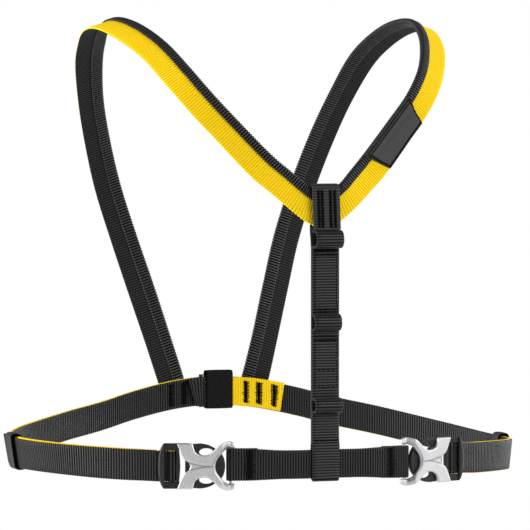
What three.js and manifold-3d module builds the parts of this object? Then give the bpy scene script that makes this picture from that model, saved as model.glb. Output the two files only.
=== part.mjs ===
// Chest harness of webbing: two edge-bound shoulder straps, an upright front strap with gear loops,
// and a belt round the chest closed by two buckles. It keeps the form it has on a torso.
import * as THREE from "three";
import { mergeVertices } from "three/addons/utils/BufferGeometryUtils.js";
import Module from "manifold-3d";

const wasm = await Module();
wasm.setup();

// Driving dimensions in millimetres. x runs to the viewer's right, y to the back, z up.
// While the harness is built, z is 0 at the middle of the chest strap.
const WEB_W = 20;
const WEB_T = 1.6;
const GAP = 0.3;
const HALF_T = WEB_T / 2;
const LAYER = WEB_T + GAP;

// The shoulder mount: the middle between the two straps, level with their undersides.
const SHOULDER = { y: 5, z: 280 };

// Plan of the belt: half an oval on each side, deeper at the back than at the front. A fullness of 2 is
// an ellipse, and the right side's front is fuller.
const BELT = { reachLeft: 170.5, reachRight: 164.5, back: 114.5, front: 113.4, full: 2, fullRightFront: 2.2 };
const BELT_STEP = 4 * Math.PI / 180;
// The belt hangs a little higher on the left side and lower on the right.
const BELT_LEAN = 4.3;
// Height of the belt's middle line, by degrees round from the middle of the back.
const BELT_RISE = [
  { turn: 0, z: 31.6 },
  { turn: 10, z: 28.5 },
  { turn: 20, z: 22.8 },
  { turn: 30, z: 16 },
  { turn: 40, z: 11.3 },
  { turn: 50, z: 7 },
  { turn: 60, z: 3.5 },
  { turn: 75, z: 0.2 },
  { turn: 90, z: -1 },
  { turn: 120, z: -0.6 },
  { turn: 150, z: -0.8 },
  { turn: 180, z: 0 },
];

// Free tail of the belt: it lies outside the main layer and flares past the keeper.
const TAIL = { lift: LAYER, flareTurn: 86, endTurn: 78, endLift: 4, slant: 5 };
const KEEPER = { turn: 91, length: 13, wall: 1.6, slack: 0.6 };

// Back slide: a plain two-bar frame, hidden in an elastic sleeve, that the two belt ends fold round.
const SLIDE = { barX: 10.2, barW: 2.4, barT: 2, railIn: 10.5, railOut: 11.3, rise: 0.4 };
const SLEEVE = { from: -7, to: 12, wall: 0.9, half: 13.2, rise: 0.8 };
// Folded inner ends: how far along x they reach at their upper and lower corner, by side.
const FOLD = { leftTop: 19.6, leftBottom: 14.5, rightTop: 49.3, rightBottom: 46.4, settle: 11 };

// Buckle, in its own flat frame: u runs from the belt towards the chest strap, v up, n outwards.
const BUCKLE = { xLeft: 76, xRight: 77.2, sink: -1.9, halfHeight: 14.5 };
const BODY = { low: 1.2, high: 4.6, outerBarLow: 3.2, outerBarHigh: 5.4, railInner: 10.5 };
const CENTRE_BAR = { u: -18.5, w: 2.2, low: 1.1, t: 1.8 };
const FRAME = { low: 4.9, t: 3.2, dropFrom: 13.5, dropTo: 19, drop: 4.5 };
const FRAME_BAR = { u: 19.2, w: 1.8, n: 2, t: 2, end: 13 };

// Chest strap: the fold round the frame's bar, the length folded back, its level at the front, and
// the distance from the middle where it leaves that level for the buckle.
const CHEST = { w: 19, foldR: 2.2, foldBack: 17, foldSettle: 9, frontLift: 3.9, meetX: 35 };

// Front strap, a little off the middle. f is the distance forward of the harness's centre.
const FRONT = { x: 2.3, w: 18.4, baseF: 115.9, faceF: 117.9, topZ: 180, overF: 123.4, seamZ: 150, endZ: 13.2 };
// Gear loops, sewn out of the face layer: middle height, outer height, and reach to the outer face.
const GEAR_LOOPS = [
  { z: 143.8, h: 11.5, out: 11 },
  { z: 90.5, h: 10.8, out: 7 },
  { z: 37.6, h: 9.6, out: 9 },
];

// Shoulder strap, right side, from the mitre under the front strap, over the shoulder, to the belt's
// back. Each row is one section: a point on the neck edge (n) and one on the outer edge (o).
const STRAP_W = 19.2;
const STRAP_ROWS = [
  { n: [0.4, -119.8, 171.4], o: [0.4, -120.2, 150.8] },
  { n: [6, -119.5, 174.2], o: [11.4, -119.4, 155.2] },
  { n: [12.4, -119, 178.2], o: [23.1, -118, 164] },
  { n: [19.8, -115, 186.6], o: [32.8, -114.5, 173.3] },
  { n: [30, -109.5, 196], o: [44, -110, 182.5] },
  { n: [51.5, -101, 220], o: [66, -101, 207.3] },
  { n: [65.5, -95.5, 236], o: [80.3, -95, 223.6] },
  { n: [77, -85, 252], o: [93, -84, 241.2] },
  { n: [86.3, -64, 268], o: [103.3, -64.3, 258.7] },
  { n: [94, -33, 280], o: [111.5, -33.5, 271.5] },
  { n: [98.5, 0, 285], o: [116.5, 0.5, 278.5] },
  { n: [96.5, 36, 282], o: [115.2, 37, 276.5] },
  { n: [91.6, 64, 272], o: [110.8, 66, 267] },
  { n: [87.7, 85, 260], o: [106.7, 86, 255.6] },
  { n: [81.4, 107, 236], o: [98.8, 107.7, 231] },
  { n: [74, 121, 212], o: [91.3, 121, 206.3] },
  { n: [62.6, 132, 176], o: [79, 132.4, 169.8] },
  { n: [50.6, 133, 140], o: [67, 133.5, 134.3] },
  { n: [39.9, 126.3, 104], o: [56.3, 127, 98.3] },
  { n: [29.6, 119.8, 68], o: [45.8, 119.6, 62.4] },
  { n: [22.4, 117.4, 44], o: [38.8, 115.6, 38.3] },
  { n: [16.4, 117.4, 24], o: [32.3, 114.8, 18.5] },
];
const STRAP_STEPS = 3;
// Binding tape folded round the neck edge: its thickness and the width of its two legs.
const BINDING = { t: 0.9, outerLeg: 5.2, innerLeg: 8.4 };
// Label on the right strap: where its neck side and its outer side start and end, in strap rows.
const LABEL = { neckFrom: 4.04, neckTo: 6, outerFrom: 4.25, outerTo: 5.58, inset: 0.6, t: 1, steps: 10 };

const COLOURS = {
  yellow: { color: 0xf2c31a, roughness: 0.75, metalness: 0 },
  black: { color: 0x242427, roughness: 0.8, metalness: 0 },
  plastic: { color: 0x1b1b1d, roughness: 0.45, metalness: 0 },
  label: { color: 0x3a3a3c, roughness: 0.55, metalness: 0 },
  aluminium: { color: 0xc4c5c7, roughness: 0.4, metalness: 1 },
};

const harness = new THREE.Group();

function addPiece(name, geometry, look) {
  const mesh = new THREE.Mesh(geometry, new THREE.MeshStandardMaterial(COLOURS[look]));
  mesh.name = name;
  harness.add(mesh);
  return mesh;
}

const lerp = THREE.MathUtils.lerp;
const degrees = THREE.MathUtils.degToRad;

// Closed solids from sections

function signedVolume(points, triangles) {
  let sum = 0;
  for (const [a, b, c] of triangles) {
    sum += points[a].dot(new THREE.Vector3().crossVectors(points[b], points[c]));
  }
  return sum / 6;
}

// Triangles that fill one section, turned the same way round as its outline.
function capTriangles(outline) {
  const way = Math.sign(THREE.ShapeUtils.area(outline));
  return THREE.ShapeUtils.triangulateShape(outline, []).map(([a, b, c]) => {
    const turned = Math.sign(THREE.ShapeUtils.area([outline[a], outline[b], outline[c]]));
    return turned === way ? [a, b, c] : [a, c, b];
  });
}

// A closed solid through a row of sections; outline is their common shape, used to fill the two ends.
function loft(sections, outline) {
  const count = outline.length;
  const last = (sections.length - 1) * count;
  const points = sections.flat();
  const triangles = [];
  for (let i = 0; i < last; i += count) {
    for (let j = 0; j < count; j++) {
      const k = (j + 1) % count;
      triangles.push([i + j, i + count + j, i + count + k]);
      triangles.push([i + j, i + count + k, i + k]);
    }
  }
  for (const [a, b, c] of capTriangles(outline)) {
    triangles.push([a, b, c]);
    triangles.push([last + a, last + c, last + b]);
  }
  if (signedVolume(points, triangles) < 0) {
    triangles.forEach((t) => t.reverse());
  }
  const geometry = new THREE.BufferGeometry();
  geometry.setAttribute("position", new THREE.Float32BufferAttribute(points.flatMap((p) => p.toArray()), 3));
  geometry.setIndex(triangles.flat());
  geometry.computeVertexNormals();
  return geometry;
}

function solidOf(geometry) {
  const bare = geometry.clone();
  bare.deleteAttribute("normal");
  bare.deleteAttribute("uv");
  const merged = mergeVertices(bare, 1e-4);
  const vertProperties = new Float32Array(merged.attributes.position.array);
  const triVerts = new Uint32Array(merged.index.array);
  return new wasm.Manifold(new wasm.Mesh({ numProp: 3, vertProperties, triVerts }));
}

function joined(...geometries) {
  const mesh = geometries.map(solidOf).reduce((a, b) => a.add(b)).getMesh();
  const geometry = new THREE.BufferGeometry();
  geometry.setAttribute("position", new THREE.Float32BufferAttribute(mesh.vertProperties, 3));
  geometry.setIndex(new THREE.Uint32BufferAttribute(mesh.triVerts, 1));
  geometry.computeVertexNormals();
  return geometry;
}

// Points along runs of [u, v] pairs: a run of two is a line, a longer one a smooth curve.
function outlinePoints(runs) {
  const points = [];
  for (const run of runs) {
    const knots = run.map(([u, v]) => new THREE.Vector2(u, v));
    const curve = new THREE.SplineCurve(knots);
    points.push(...(knots.length > 2 ? curve.getPoints(2 * (knots.length - 1)) : knots));
  }
  return points.filter((p, i) => i === 0 || p.distanceTo(points[i - 1]) > 1e-3);
}

// A whole outline from its upper half; points on the middle line v = 0 aren't repeated.
function mirroredOutline(runs) {
  const upper = outlinePoints(runs);
  const lower = upper.filter((p) => p.y > 1e-3).reverse().map((p) => new THREE.Vector2(p.x, -p.y));
  return upper.concat(lower);
}

function slab(outline, holes, low, high, bevel = 0) {
  const shape = new THREE.Shape(outline);
  shape.holes = holes.map((hole) => new THREE.Path(hole));
  const options = {
    depth: high - low - 2 * bevel,
    bevelEnabled: bevel > 0,
    bevelSize: bevel,
    bevelThickness: bevel,
    bevelOffset: -bevel,
    bevelSegments: 1,
  };
  return new THREE.ExtrudeGeometry(shape, options).translate(0, 0, low + bevel);
}

function rectangle(x0, y0, x1, y1) {
  return [[x0, y0], [x1, y0], [x1, y1], [x0, y1]].map(([x, y]) => new THREE.Vector2(x, y));
}

// The belt's plan

function tableValue(rows, turn) {
  const next = rows.findIndex((row) => row.turn >= turn);
  if (next <= 0) {
    return rows[0].z;
  }
  const a = rows[next - 1];
  const b = rows[next];
  return lerp(a.z, b.z, (turn - a.turn) / (b.turn - a.turn));
}

function beltHeight(side, turn) {
  const lean = BELT_LEAN * Math.sin(turn) ** 4;
  return tableValue(BELT_RISE, THREE.MathUtils.radToDeg(turn)) - side * lean;
}

function beltFullness(side, front) {
  return side > 0 && front ? BELT.fullRightFront : BELT.full;
}

function signedPower(value, power) {
  return Math.sign(value) * Math.abs(value) ** power;
}

// Flat frame that touches the belt's plan: turn is 0 at the back and PI at the front, side is -1 or 1.
function beltFrame(side, turn) {
  const front = turn > Math.PI / 2;
  const reach = side < 0 ? BELT.reachLeft : BELT.reachRight;
  const depth = front ? BELT.front : BELT.back;
  const full = beltFullness(side, front);
  const sin = signedPower(Math.sin(turn), 2 / full);
  const cos = signedPower(Math.cos(turn), 2 / full);
  const out = new THREE.Vector3(
    side * signedPower(sin, full - 1) / reach,
    signedPower(cos, full - 1) / depth,
    0,
  ).normalize();
  return {
    origin: new THREE.Vector3(side * reach * sin, depth * cos, beltHeight(side, turn)),
    along: new THREE.Vector3(side * out.y, -side * out.x, 0),
    out,
  };
}

function inFrame(frame, u, n) {
  return frame.origin.clone().addScaledVector(frame.along, u).addScaledVector(frame.out, n);
}

function beltPoint(side, turn, lift) {
  return inFrame(beltFrame(side, turn), 0, lift);
}

// Points on the belt's plan from one turn to another, with the lift changing evenly.
function beltRun(side, from, to, liftFrom, liftTo) {
  const steps = Math.max(1, Math.round(Math.abs(to - from) / BELT_STEP));
  const points = [];
  for (let i = 0; i <= steps; i++) {
    points.push(beltPoint(side, lerp(from, to, i / steps), lerp(liftFrom, liftTo, i / steps)));
  }
  return points;
}

function turnAtX(side, x, front) {
  const reach = side < 0 ? BELT.reachLeft : BELT.reachRight;
  const turn = Math.asin((x / reach) ** (beltFullness(side, front) / 2));
  return front ? Math.PI - turn : turn;
}

function buckleX(side) {
  return side < 0 ? BUCKLE.xLeft : BUCKLE.xRight;
}

function buckleFrame(side) {
  const frame = beltFrame(side, turnAtX(side, buckleX(side), true));
  frame.origin = inFrame(frame, 0, BUCKLE.sink);
  return frame;
}

// Arc in a flat frame round [u, n], from one angle to another in degrees, 0 pointing along u.
function arcPoints(frame, [u, n], radius, from, to, steps) {
  const points = [];
  for (let i = 0; i <= steps; i++) {
    const angle = degrees(lerp(from, to, i / steps));
    points.push(inFrame(frame, u + radius * Math.cos(angle), n + radius * Math.sin(angle)));
  }
  return points;
}

// Upright webbing along a line of points. The slants shift the ends' upper corners along the line.
function uprightWebbing(line, width, slantStart = 0, slantEnd = 0) {
  const outline = rectangle(-HALF_T, -width / 2, HALF_T, width / 2);
  const last = line.length - 1;
  const sections = line.map((point, i) => {
    const before = line[Math.max(i - 1, 0)];
    const after = line[Math.min(i + 1, last)];
    const along = new THREE.Vector3(after.x - before.x, after.y - before.y, 0).normalize();
    const across = new THREE.Vector3(along.y, -along.x, 0);
    const slant = i === 0 ? slantStart : i === last ? slantEnd : 0;
    return outline.map((corner) => point.clone()
      .addScaledVector(across, corner.x)
      .addScaledVector(along, slant * corner.y / width)
      .add(new THREE.Vector3(0, 0, corner.y)));
  });
  return loft(sections, outline);
}

// One side of the belt, from its folded end at the back to the tail's end past the keeper.
function makeBelt(side) {
  const name = side < 0 ? "left" : "right";
  const top = FOLD[name + "Top"];
  const bottom = FOLD[name + "Bottom"];
  const barTurn = turnAtX(side, SLIDE.barX, false);
  const barFrame = beltFrame(side, barTurn);
  const foldR = (SLIDE.barT + WEB_T) / 2 + GAP;
  const clear = turnAtX(side, SLIDE.barX + SLIDE.barW / 2 + GAP, false);
  const settled = turnAtX(side, SLIDE.barX + FOLD.settle, false);
  const foldEnd = turnAtX(side, (top + bottom) / 2, false);

  // The short left end stays a little open, the long right end lies against the main layer.
  const line = foldEnd < settled
    ? [beltPoint(side, foldEnd, 1 - 2 * foldR)]
    : beltRun(side, foldEnd, settled, -LAYER, -LAYER);
  line.push(beltPoint(side, clear, -2 * foldR));
  line.push(...arcPoints(barFrame, [0.6 - SLIDE.barW / 2, -foldR], foldR, 270, 90, 6));

  const buckle = buckleFrame(side);
  const meet = turnAtX(side, buckleX(side) + 36, true);
  line.push(...beltRun(side, barTurn + BELT_STEP, meet, 0, 0));

  // Under the outer bar, round the centre bar, and down again under the outer bar.
  const bar = CENTRE_BAR;
  const roundN = bar.low + bar.t / 2;
  const roundR = (bar.t + WEB_T) / 2 + GAP;
  const roundU = (bar.w - bar.t) / 2;
  const descent = 55;
  const leaveN = roundN + roundR * Math.cos(degrees(descent));
  const settleR = (leaveN - TAIL.lift) / (1 - Math.cos(degrees(descent)));
  const leaveU = bar.u - roundU - roundR * Math.sin(degrees(descent));
  const settleU = leaveU - settleR * Math.sin(degrees(descent));
  line.push(inFrame(buckle, -28, 0));
  line.push(...arcPoints(buckle, [bar.u + roundU, roundN], roundR, -90, 90, 8));
  line.push(...arcPoints(buckle, [bar.u - roundU, roundN], roundR, 90, 90 + descent, 3));
  line.push(...arcPoints(buckle, [settleU, TAIL.lift + settleR], settleR, descent - 90, -90, 3).slice(1));
  line.push(inFrame(buckle, -28, TAIL.lift));

  const flare = degrees(TAIL.flareTurn);
  line.push(...beltRun(side, meet, flare, TAIL.lift, TAIL.lift));
  line.push(...beltRun(side, flare - BELT_STEP, degrees(TAIL.endTurn), TAIL.lift, TAIL.endLift));
  addPiece("belt_" + name, uprightWebbing(line, WEB_W, bottom - top, TAIL.slant), "black");
}

// A ring round the belt, lengthwise along it: outer sizes over the belt's inner and outer faces.
function ringAround(frame, nLow, nHigh, half, wall, from, to) {
  const outline = rectangle(nLow - wall, -half, nHigh + wall, half);
  const hole = rectangle(nLow, -half + wall, nHigh, half - wall);
  const ring = slab(outline, [hole], from, to);
  const up = new THREE.Vector3().crossVectors(frame.along, frame.out);
  const basis = new THREE.Matrix4().makeBasis(frame.out, up, frame.along);
  return { ring, basis };
}

function addRing(name, frame, parts) {
  const mesh = addPiece(name, parts.ring, "black");
  mesh.quaternion.setFromRotationMatrix(parts.basis);
  mesh.position.copy(frame.origin);
}

function makeKeeper(side) {
  const frame = beltFrame(side, degrees(KEEPER.turn));
  const low = -HALF_T - KEEPER.slack;
  const high = TAIL.lift + HALF_T + KEEPER.slack;
  const half = WEB_W / 2 + KEEPER.slack + KEEPER.wall;
  const parts = ringAround(frame, low, high, half, KEEPER.wall, -KEEPER.length / 2, KEEPER.length / 2);
  addRing(side < 0 ? "side_keeper_left" : "side_keeper_right", frame, parts);
}

function makeBackSlide() {
  const frame = beltFrame(1, 0);
  frame.origin.z = beltHeight(1, turnAtX(1, SLIDE.barX, false)) + SLIDE.rise;
  const edge = SLIDE.barX + SLIDE.barW / 2;
  const outline = rectangle(-edge, -SLIDE.railOut, edge, SLIDE.railOut);
  const inner = SLIDE.barX - SLIDE.barW / 2;
  const hole = rectangle(-inner, -SLIDE.railIn, inner, SLIDE.railIn);
  const middle = -HALF_T - 2 * GAP - SLIDE.barT / 2;
  const slide = slab(outline, [hole], middle - SLIDE.barT / 2, middle + SLIDE.barT / 2);
  const mesh = addPiece("back_slide", slide, "plastic");
  const up = new THREE.Vector3().crossVectors(frame.out, frame.along);
  mesh.quaternion.setFromRotationMatrix(new THREE.Matrix4().makeBasis(frame.along, up, frame.out));
  mesh.position.copy(frame.origin);

  const low = -HALF_T - SLIDE.barT - 2 * GAP - WEB_T - GAP;
  const parts = ringAround(frame, low, HALF_T + GAP, SLEEVE.half, SLEEVE.wall, SLEEVE.from, SLEEVE.to);
  frame.origin.z += SLEEVE.rise;
  addRing("back_sleeve", frame, parts);
}

// The buckle

function placeBuckle(name, geometry, look, side) {
  const frame = buckleFrame(side);
  const mesh = addPiece(name, geometry, look);
  const up = new THREE.Vector3().crossVectors(frame.out, frame.along);
  mesh.quaternion.setFromRotationMatrix(new THREE.Matrix4().makeBasis(frame.along, up, frame.out));
  mesh.position.copy(frame.origin);
}

// Black body: two rails with a centre bar and an outer bar for the belt, a bridge, and a round nose.
function buckleBody() {
  const top = BUCKLE.halfHeight;
  const plate = mirroredOutline([
    [[-10, 4], [-12.4, 8.3]],
    [[-12.4, BODY.railInner], [-24.8, BODY.railInner]],
    [[-24.8, BODY.railInner], [-24.3, 13.1], [-23.7, 14.3], [-22.8, top]],
    [[-22.8, top], [-8.3, top]],
    [[-5.2, 14.1], [0.3, 14.3], [5.4, 13.2], [9.4, 11], [12.4, 8.8], [14.2, 6.3], [15.3, 2.9], [15.6, 0]],
  ]);
  const windowAt = (v) => new THREE.EllipseCurve(3.5, v, 4.5, 2.5).getPoints(12).slice(0, -1);
  const outerBar = mirroredOutline([
    [[-23, 14.4], [-23.7, 14.3], [-25.7, 11], [-26.8, 6.2], [-27.1, 0]],
  ]);
  const bridge = mirroredOutline([
    [[-15.2, 12], [-14.2, 12]],
    [[-14.2, 12], [-13.6, 8], [-13.2, 4], [-13, 0]],
  ]);
  const half = CENTRE_BAR.w / 2;
  const bar = rectangle(CENTRE_BAR.u - half, -12, CENTRE_BAR.u + half, 12);
  return joined(
    slab(plate, [windowAt(8.6), windowAt(-8.6)], BODY.low, BODY.high),
    slab(outerBar, [], BODY.outerBarLow, BODY.outerBarHigh),
    slab(bar, [], CENTRE_BAR.low, CENTRE_BAR.low + CENTRE_BAR.t, 0.4),
    slab(bridge, [], BODY.low, BODY.high - 0.4),
  );
}

// Aluminium cross: two broad claws on the body's rails and a fork that drops to the chest strap's bar.
function buckleCross() {
  const low = FRAME.low;
  const high = FRAME.low + FRAME.t;
  const claws = mirroredOutline([
    [[-6.6, 0], [-7.7, 2.6], [-10, 3.9], [-12, 6.9], [-13.7, 11], [-14.9, 14.1]],
    [[-14.4, 14.7], [-5.4, 14.7]],
    [[-4.7, 13.2], [-4.1, 11.2], [-3.3, 9.3], [-0.3, 7.5], [3.3, 7.1], [5.4, 7.8], [8, 9.9], [9.7, 11.5],
      [12, 13.5]],
    [[13, 7.5], [11, 5], [9.8, 2.6], [9.4, 0]],
  ]);
  const arm = outlinePoints([
    [[11.2, 12.8], [12, 13.5], [15.3, 15.1], [18.6, 15.6], [21.3, 14.2], [21.9, 11.7]],
    [[17.4, 11.6], [15, 9.9], [13, 7.5], [12.1, 6.3]],
  ]);
  const arms = [arm, arm.map((p) => new THREE.Vector2(p.x, -p.y))].map((outline) => {
    const slope = slab(outline, [], low, high);
    const place = slope.attributes.position;
    for (let i = 0; i < place.count; i++) {
      const fall = THREE.MathUtils.smoothstep(place.getX(i), FRAME.dropFrom, FRAME.dropTo);
      place.setZ(i, place.getZ(i) - FRAME.drop * fall);
    }
    return slope;
  });
  const half = FRAME_BAR.w / 2;
  const bar = rectangle(FRAME_BAR.u - half, -FRAME_BAR.end, FRAME_BAR.u + half, FRAME_BAR.end);
  const barLow = FRAME_BAR.n - FRAME_BAR.t / 2;
  return joined(slab(claws, [], low, high), ...arms, slab(bar, [], barLow, barLow + FRAME_BAR.t, 0.3));
}

// Chest strap between the buckles, each end folded round a buckle's bar and sewn down behind.
function chestEnd(side) {
  const buckle = buckleFrame(side);
  const bend = arcPoints(buckle, [FRAME_BAR.u, FRAME_BAR.n], CHEST.foldR, 270, 90, 8);
  const top = bend[bend.length - 1];
  const meet = beltPoint(side, turnAtX(side, CHEST.meetX, true), CHEST.frontLift);
  const behind = (reach) => top.clone()
    .lerp(meet, reach / top.distanceTo(meet))
    .addScaledVector(buckle.out, -LAYER);
  const settled = behind(CHEST.foldSettle);
  return [behind(CHEST.foldBack), settled, settled.clone().lerp(bend[0], 0.5), ...bend];
}

function makeChestStrap() {
  const lift = CHEST.frontLift;
  const line = chestEnd(-1)
    .concat(beltRun(-1, turnAtX(-1, CHEST.meetX, true), Math.PI, lift, lift))
    .concat(beltRun(1, Math.PI - BELT_STEP, turnAtX(1, CHEST.meetX, true), lift, lift))
    .concat(chestEnd(1).reverse());
  addPiece("chest_strap", uprightWebbing(line, CHEST.w), "black");
}

// The front strap, drawn in side view as [f, z] and given its width along x

function arc2(f, z, radius, from, to, steps, radiusZ = radius) {
  const points = [];
  for (let i = 0; i <= steps; i++) {
    const angle = degrees(lerp(from, to, i / steps));
    points.push(new THREE.Vector2(f + radius * Math.cos(angle), z + radiusZ * Math.sin(angle)));
  }
  return points;
}

// Outline of a strip of webbing that follows a line in side view.
function stripOutline(line) {
  const last = line.length - 1;
  const edge = (sign) => line.map((point, i) => {
    const along = line[Math.min(i + 1, last)].clone().sub(line[Math.max(i - 1, 0)]).normalize();
    return point.clone().add(new THREE.Vector2(-along.y, along.x).multiplyScalar(sign * HALF_T));
  });
  return edge(1).concat(edge(-1).reverse());
}

function addFrontPiece(name, line) {
  const geometry = new THREE.ExtrudeGeometry(new THREE.Shape(stripOutline(line)), {
    depth: FRONT.w,
    bevelEnabled: false,
  });
  const mesh = addPiece(name, geometry, "black");
  const x = new THREE.Vector3(1, 0, 0);
  const forward = new THREE.Vector3(0, -1, 0);
  const up = new THREE.Vector3(0, 0, 1);
  mesh.quaternion.setFromRotationMatrix(new THREE.Matrix4().makeBasis(forward, up, x.negate()));
  mesh.position.set(FRONT.x + FRONT.w / 2, 0, 0);
}

// Base layer: up behind the shoulder straps, over their mitre and down to the seam in front.
function makeFrontBase() {
  const middle = (FRONT.baseF + FRONT.overF) / 2;
  const radius = (FRONT.overF - FRONT.baseF) / 2;
  const foldZ = FRONT.topZ - HALF_T - radius;
  const line = [new THREE.Vector2(FRONT.baseF, FRONT.endZ)];
  line.push(...arc2(middle, foldZ, radius, 180, 0, 10));
  line.push(new THREE.Vector2(FRONT.overF, FRONT.seamZ));
  addFrontPiece("front_strap_base", line);
}

// One gear loop, from above: out of the face layer, round, and back into it.
function gearLoop({ z, h, out }) {
  const radius = h / 2 - HALF_T;
  const corner = 1.2;
  const roundF = FRONT.faceF + out - HALF_T - radius;
  const cornerF = FRONT.faceF + corner;
  return [
    ...arc2(cornerF, z + radius + corner, corner, 180, 270, 3),
    ...arc2(roundF, z, radius, 90, -90, 8),
    ...arc2(cornerF, z - radius - corner, corner, 90, 180, 3),
  ];
}

// Face layer: from the seam down through the gear loops, round the chest strap and up behind it.
function makeFrontFace() {
  const chestF = BELT.front + CHEST.frontLift;
  const frontF = chestF + LAYER;
  const backF = chestF - LAYER;
  const foldZ = -CHEST.w / 2 - 0.2;
  const line = [new THREE.Vector2(FRONT.faceF, FRONT.seamZ + 1)];
  for (const loop of GEAR_LOOPS) {
    line.push(...gearLoop(loop));
  }
  line.push(new THREE.Vector2(FRONT.faceF, FRONT.endZ + 4));
  line.push(new THREE.Vector2(frontF, FRONT.endZ - 2));
  line.push(...arc2(chestF, foldZ, LAYER, 0, -180, 8, 1.3));
  line.push(new THREE.Vector2(backF, FRONT.endZ - 0.6));
  addFrontPiece("front_strap_face", line);
}

// Shoulder straps

const neckEdge = new THREE.CatmullRomCurve3(STRAP_ROWS.map((row) => new THREE.Vector3(...row.n)));
const outerEdge = new THREE.CatmullRomCurve3(STRAP_ROWS.map((row) => new THREE.Vector3(...row.o)));
const LAST_ROW = STRAP_ROWS.length - 1;

// Point on a strap: row along it, across from the neck edge, and lift out from its middle surface.
function strapPoint(side, row, across, lift) {
  const middle = (t) => neckEdge.getPoint(t).lerp(outerEdge.getPoint(t), 0.5);
  const t = row / LAST_ROW;
  const step = 0.2 / LAST_ROW;
  const along = middle(Math.min(t + step, 1)).sub(middle(Math.max(t - step, 0)));
  const neck = neckEdge.getPoint(t);
  const width = outerEdge.getPoint(t).sub(neck);
  const out = new THREE.Vector3().crossVectors(width, along).normalize();
  const point = neck.addScaledVector(width, across / STRAP_W).addScaledVector(out, lift);
  point.x *= side;
  return point;
}

// Sweep a section of [across, lift] corners along the whole strap.
function alongStrap(side, corners) {
  const outline = corners.map(([across, lift]) => new THREE.Vector2(across, lift));
  const sections = [];
  for (let i = 0; i <= LAST_ROW * STRAP_STEPS; i++) {
    sections.push(outline.map((c) => strapPoint(side, i / STRAP_STEPS, c.x, c.y)));
  }
  return loft(sections, outline);
}

function makeShoulder(side) {
  const name = side < 0 ? "left" : "right";
  const wall = BINDING.t + GAP;
  const core = [[wall + 0.2, -HALF_T], [STRAP_W, -HALF_T], [STRAP_W, HALF_T], [wall + 0.2, HALF_T]];
  addPiece("shoulder_strap_" + name, alongStrap(side, core), "yellow");

  const inner = HALF_T + GAP;
  const outer = inner + BINDING.t;
  const tape = [
    [BINDING.outerLeg, inner], [BINDING.outerLeg, outer], [BINDING.t, outer], [0, inner],
    [0, -inner], [BINDING.t, -outer], [BINDING.innerLeg, -outer], [BINDING.innerLeg, -inner],
    [wall, -inner], [wall, inner],
  ];
  addPiece("shoulder_binding_" + name, alongStrap(side, tape), "black");
}

// Label: it lies on the yellow face and steps up over the binding's outer leg.
function makeLabel() {
  const low = HALF_T + GAP;
  const high = low + BINDING.t + GAP;
  const step = BINDING.outerLeg + GAP;
  const corners = [
    [LABEL.inset, high], [step, high], [step + 0.9, low], [STRAP_W, low],
    [STRAP_W, low + LABEL.t], [step + 1.4, low + LABEL.t], [step + 0.5, high + LABEL.t],
    [LABEL.inset, high + LABEL.t],
  ];
  const outline = corners.map(([across, lift]) => new THREE.Vector2(across, lift));
  const sections = [];
  for (let i = 0; i <= LABEL.steps; i++) {
    const share = i / LABEL.steps;
    const neckRow = lerp(LABEL.neckFrom, LABEL.neckTo, share);
    const outerRow = lerp(LABEL.outerFrom, LABEL.outerTo, share);
    sections.push(outline.map((c) => {
      const over = (c.x - LABEL.inset) / (STRAP_W - LABEL.inset);
      return strapPoint(1, lerp(neckRow, outerRow, over), c.x, c.y);
    }));
  }
  addPiece("label_patch", loft(sections, outline), "label");
}

for (const side of [-1, 1]) {
  const name = side < 0 ? "left" : "right";
  makeShoulder(side);
  makeBelt(side);
  makeKeeper(side);
  placeBuckle("buckle_body_" + name, buckleBody(), "plastic", side);
  placeBuckle("buckle_frame_" + name, buckleCross(), "aluminium", side);
}
makeLabel();
makeFrontBase();
makeFrontFace();
makeChestStrap();
makeBackSlide();

harness.position.set(0, -SHOULDER.y, -SHOULDER.z);

export default harness;
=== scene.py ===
import math
from collections import namedtuple

import bpy
import numpy as np
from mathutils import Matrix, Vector
from mathutils.geometry import delaunay_2d_cdt


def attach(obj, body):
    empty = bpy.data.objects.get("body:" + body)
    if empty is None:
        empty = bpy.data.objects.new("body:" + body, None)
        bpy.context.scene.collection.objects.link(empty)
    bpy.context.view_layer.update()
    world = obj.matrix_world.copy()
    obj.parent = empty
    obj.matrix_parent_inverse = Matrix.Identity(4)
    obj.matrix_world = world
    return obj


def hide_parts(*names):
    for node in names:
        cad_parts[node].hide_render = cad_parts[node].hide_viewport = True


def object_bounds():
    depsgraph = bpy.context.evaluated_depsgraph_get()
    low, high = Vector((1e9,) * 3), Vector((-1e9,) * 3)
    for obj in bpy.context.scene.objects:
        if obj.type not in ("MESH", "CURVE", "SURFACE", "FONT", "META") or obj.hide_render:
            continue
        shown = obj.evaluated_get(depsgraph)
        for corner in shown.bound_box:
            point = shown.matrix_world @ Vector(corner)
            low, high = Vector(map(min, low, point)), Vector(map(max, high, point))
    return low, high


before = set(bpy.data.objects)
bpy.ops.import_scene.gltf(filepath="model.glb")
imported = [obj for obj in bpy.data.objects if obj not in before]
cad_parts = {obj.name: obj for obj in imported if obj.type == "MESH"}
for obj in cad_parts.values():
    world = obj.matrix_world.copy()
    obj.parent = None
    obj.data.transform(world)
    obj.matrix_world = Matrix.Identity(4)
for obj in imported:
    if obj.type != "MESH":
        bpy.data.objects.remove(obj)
cad_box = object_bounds()

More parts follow.
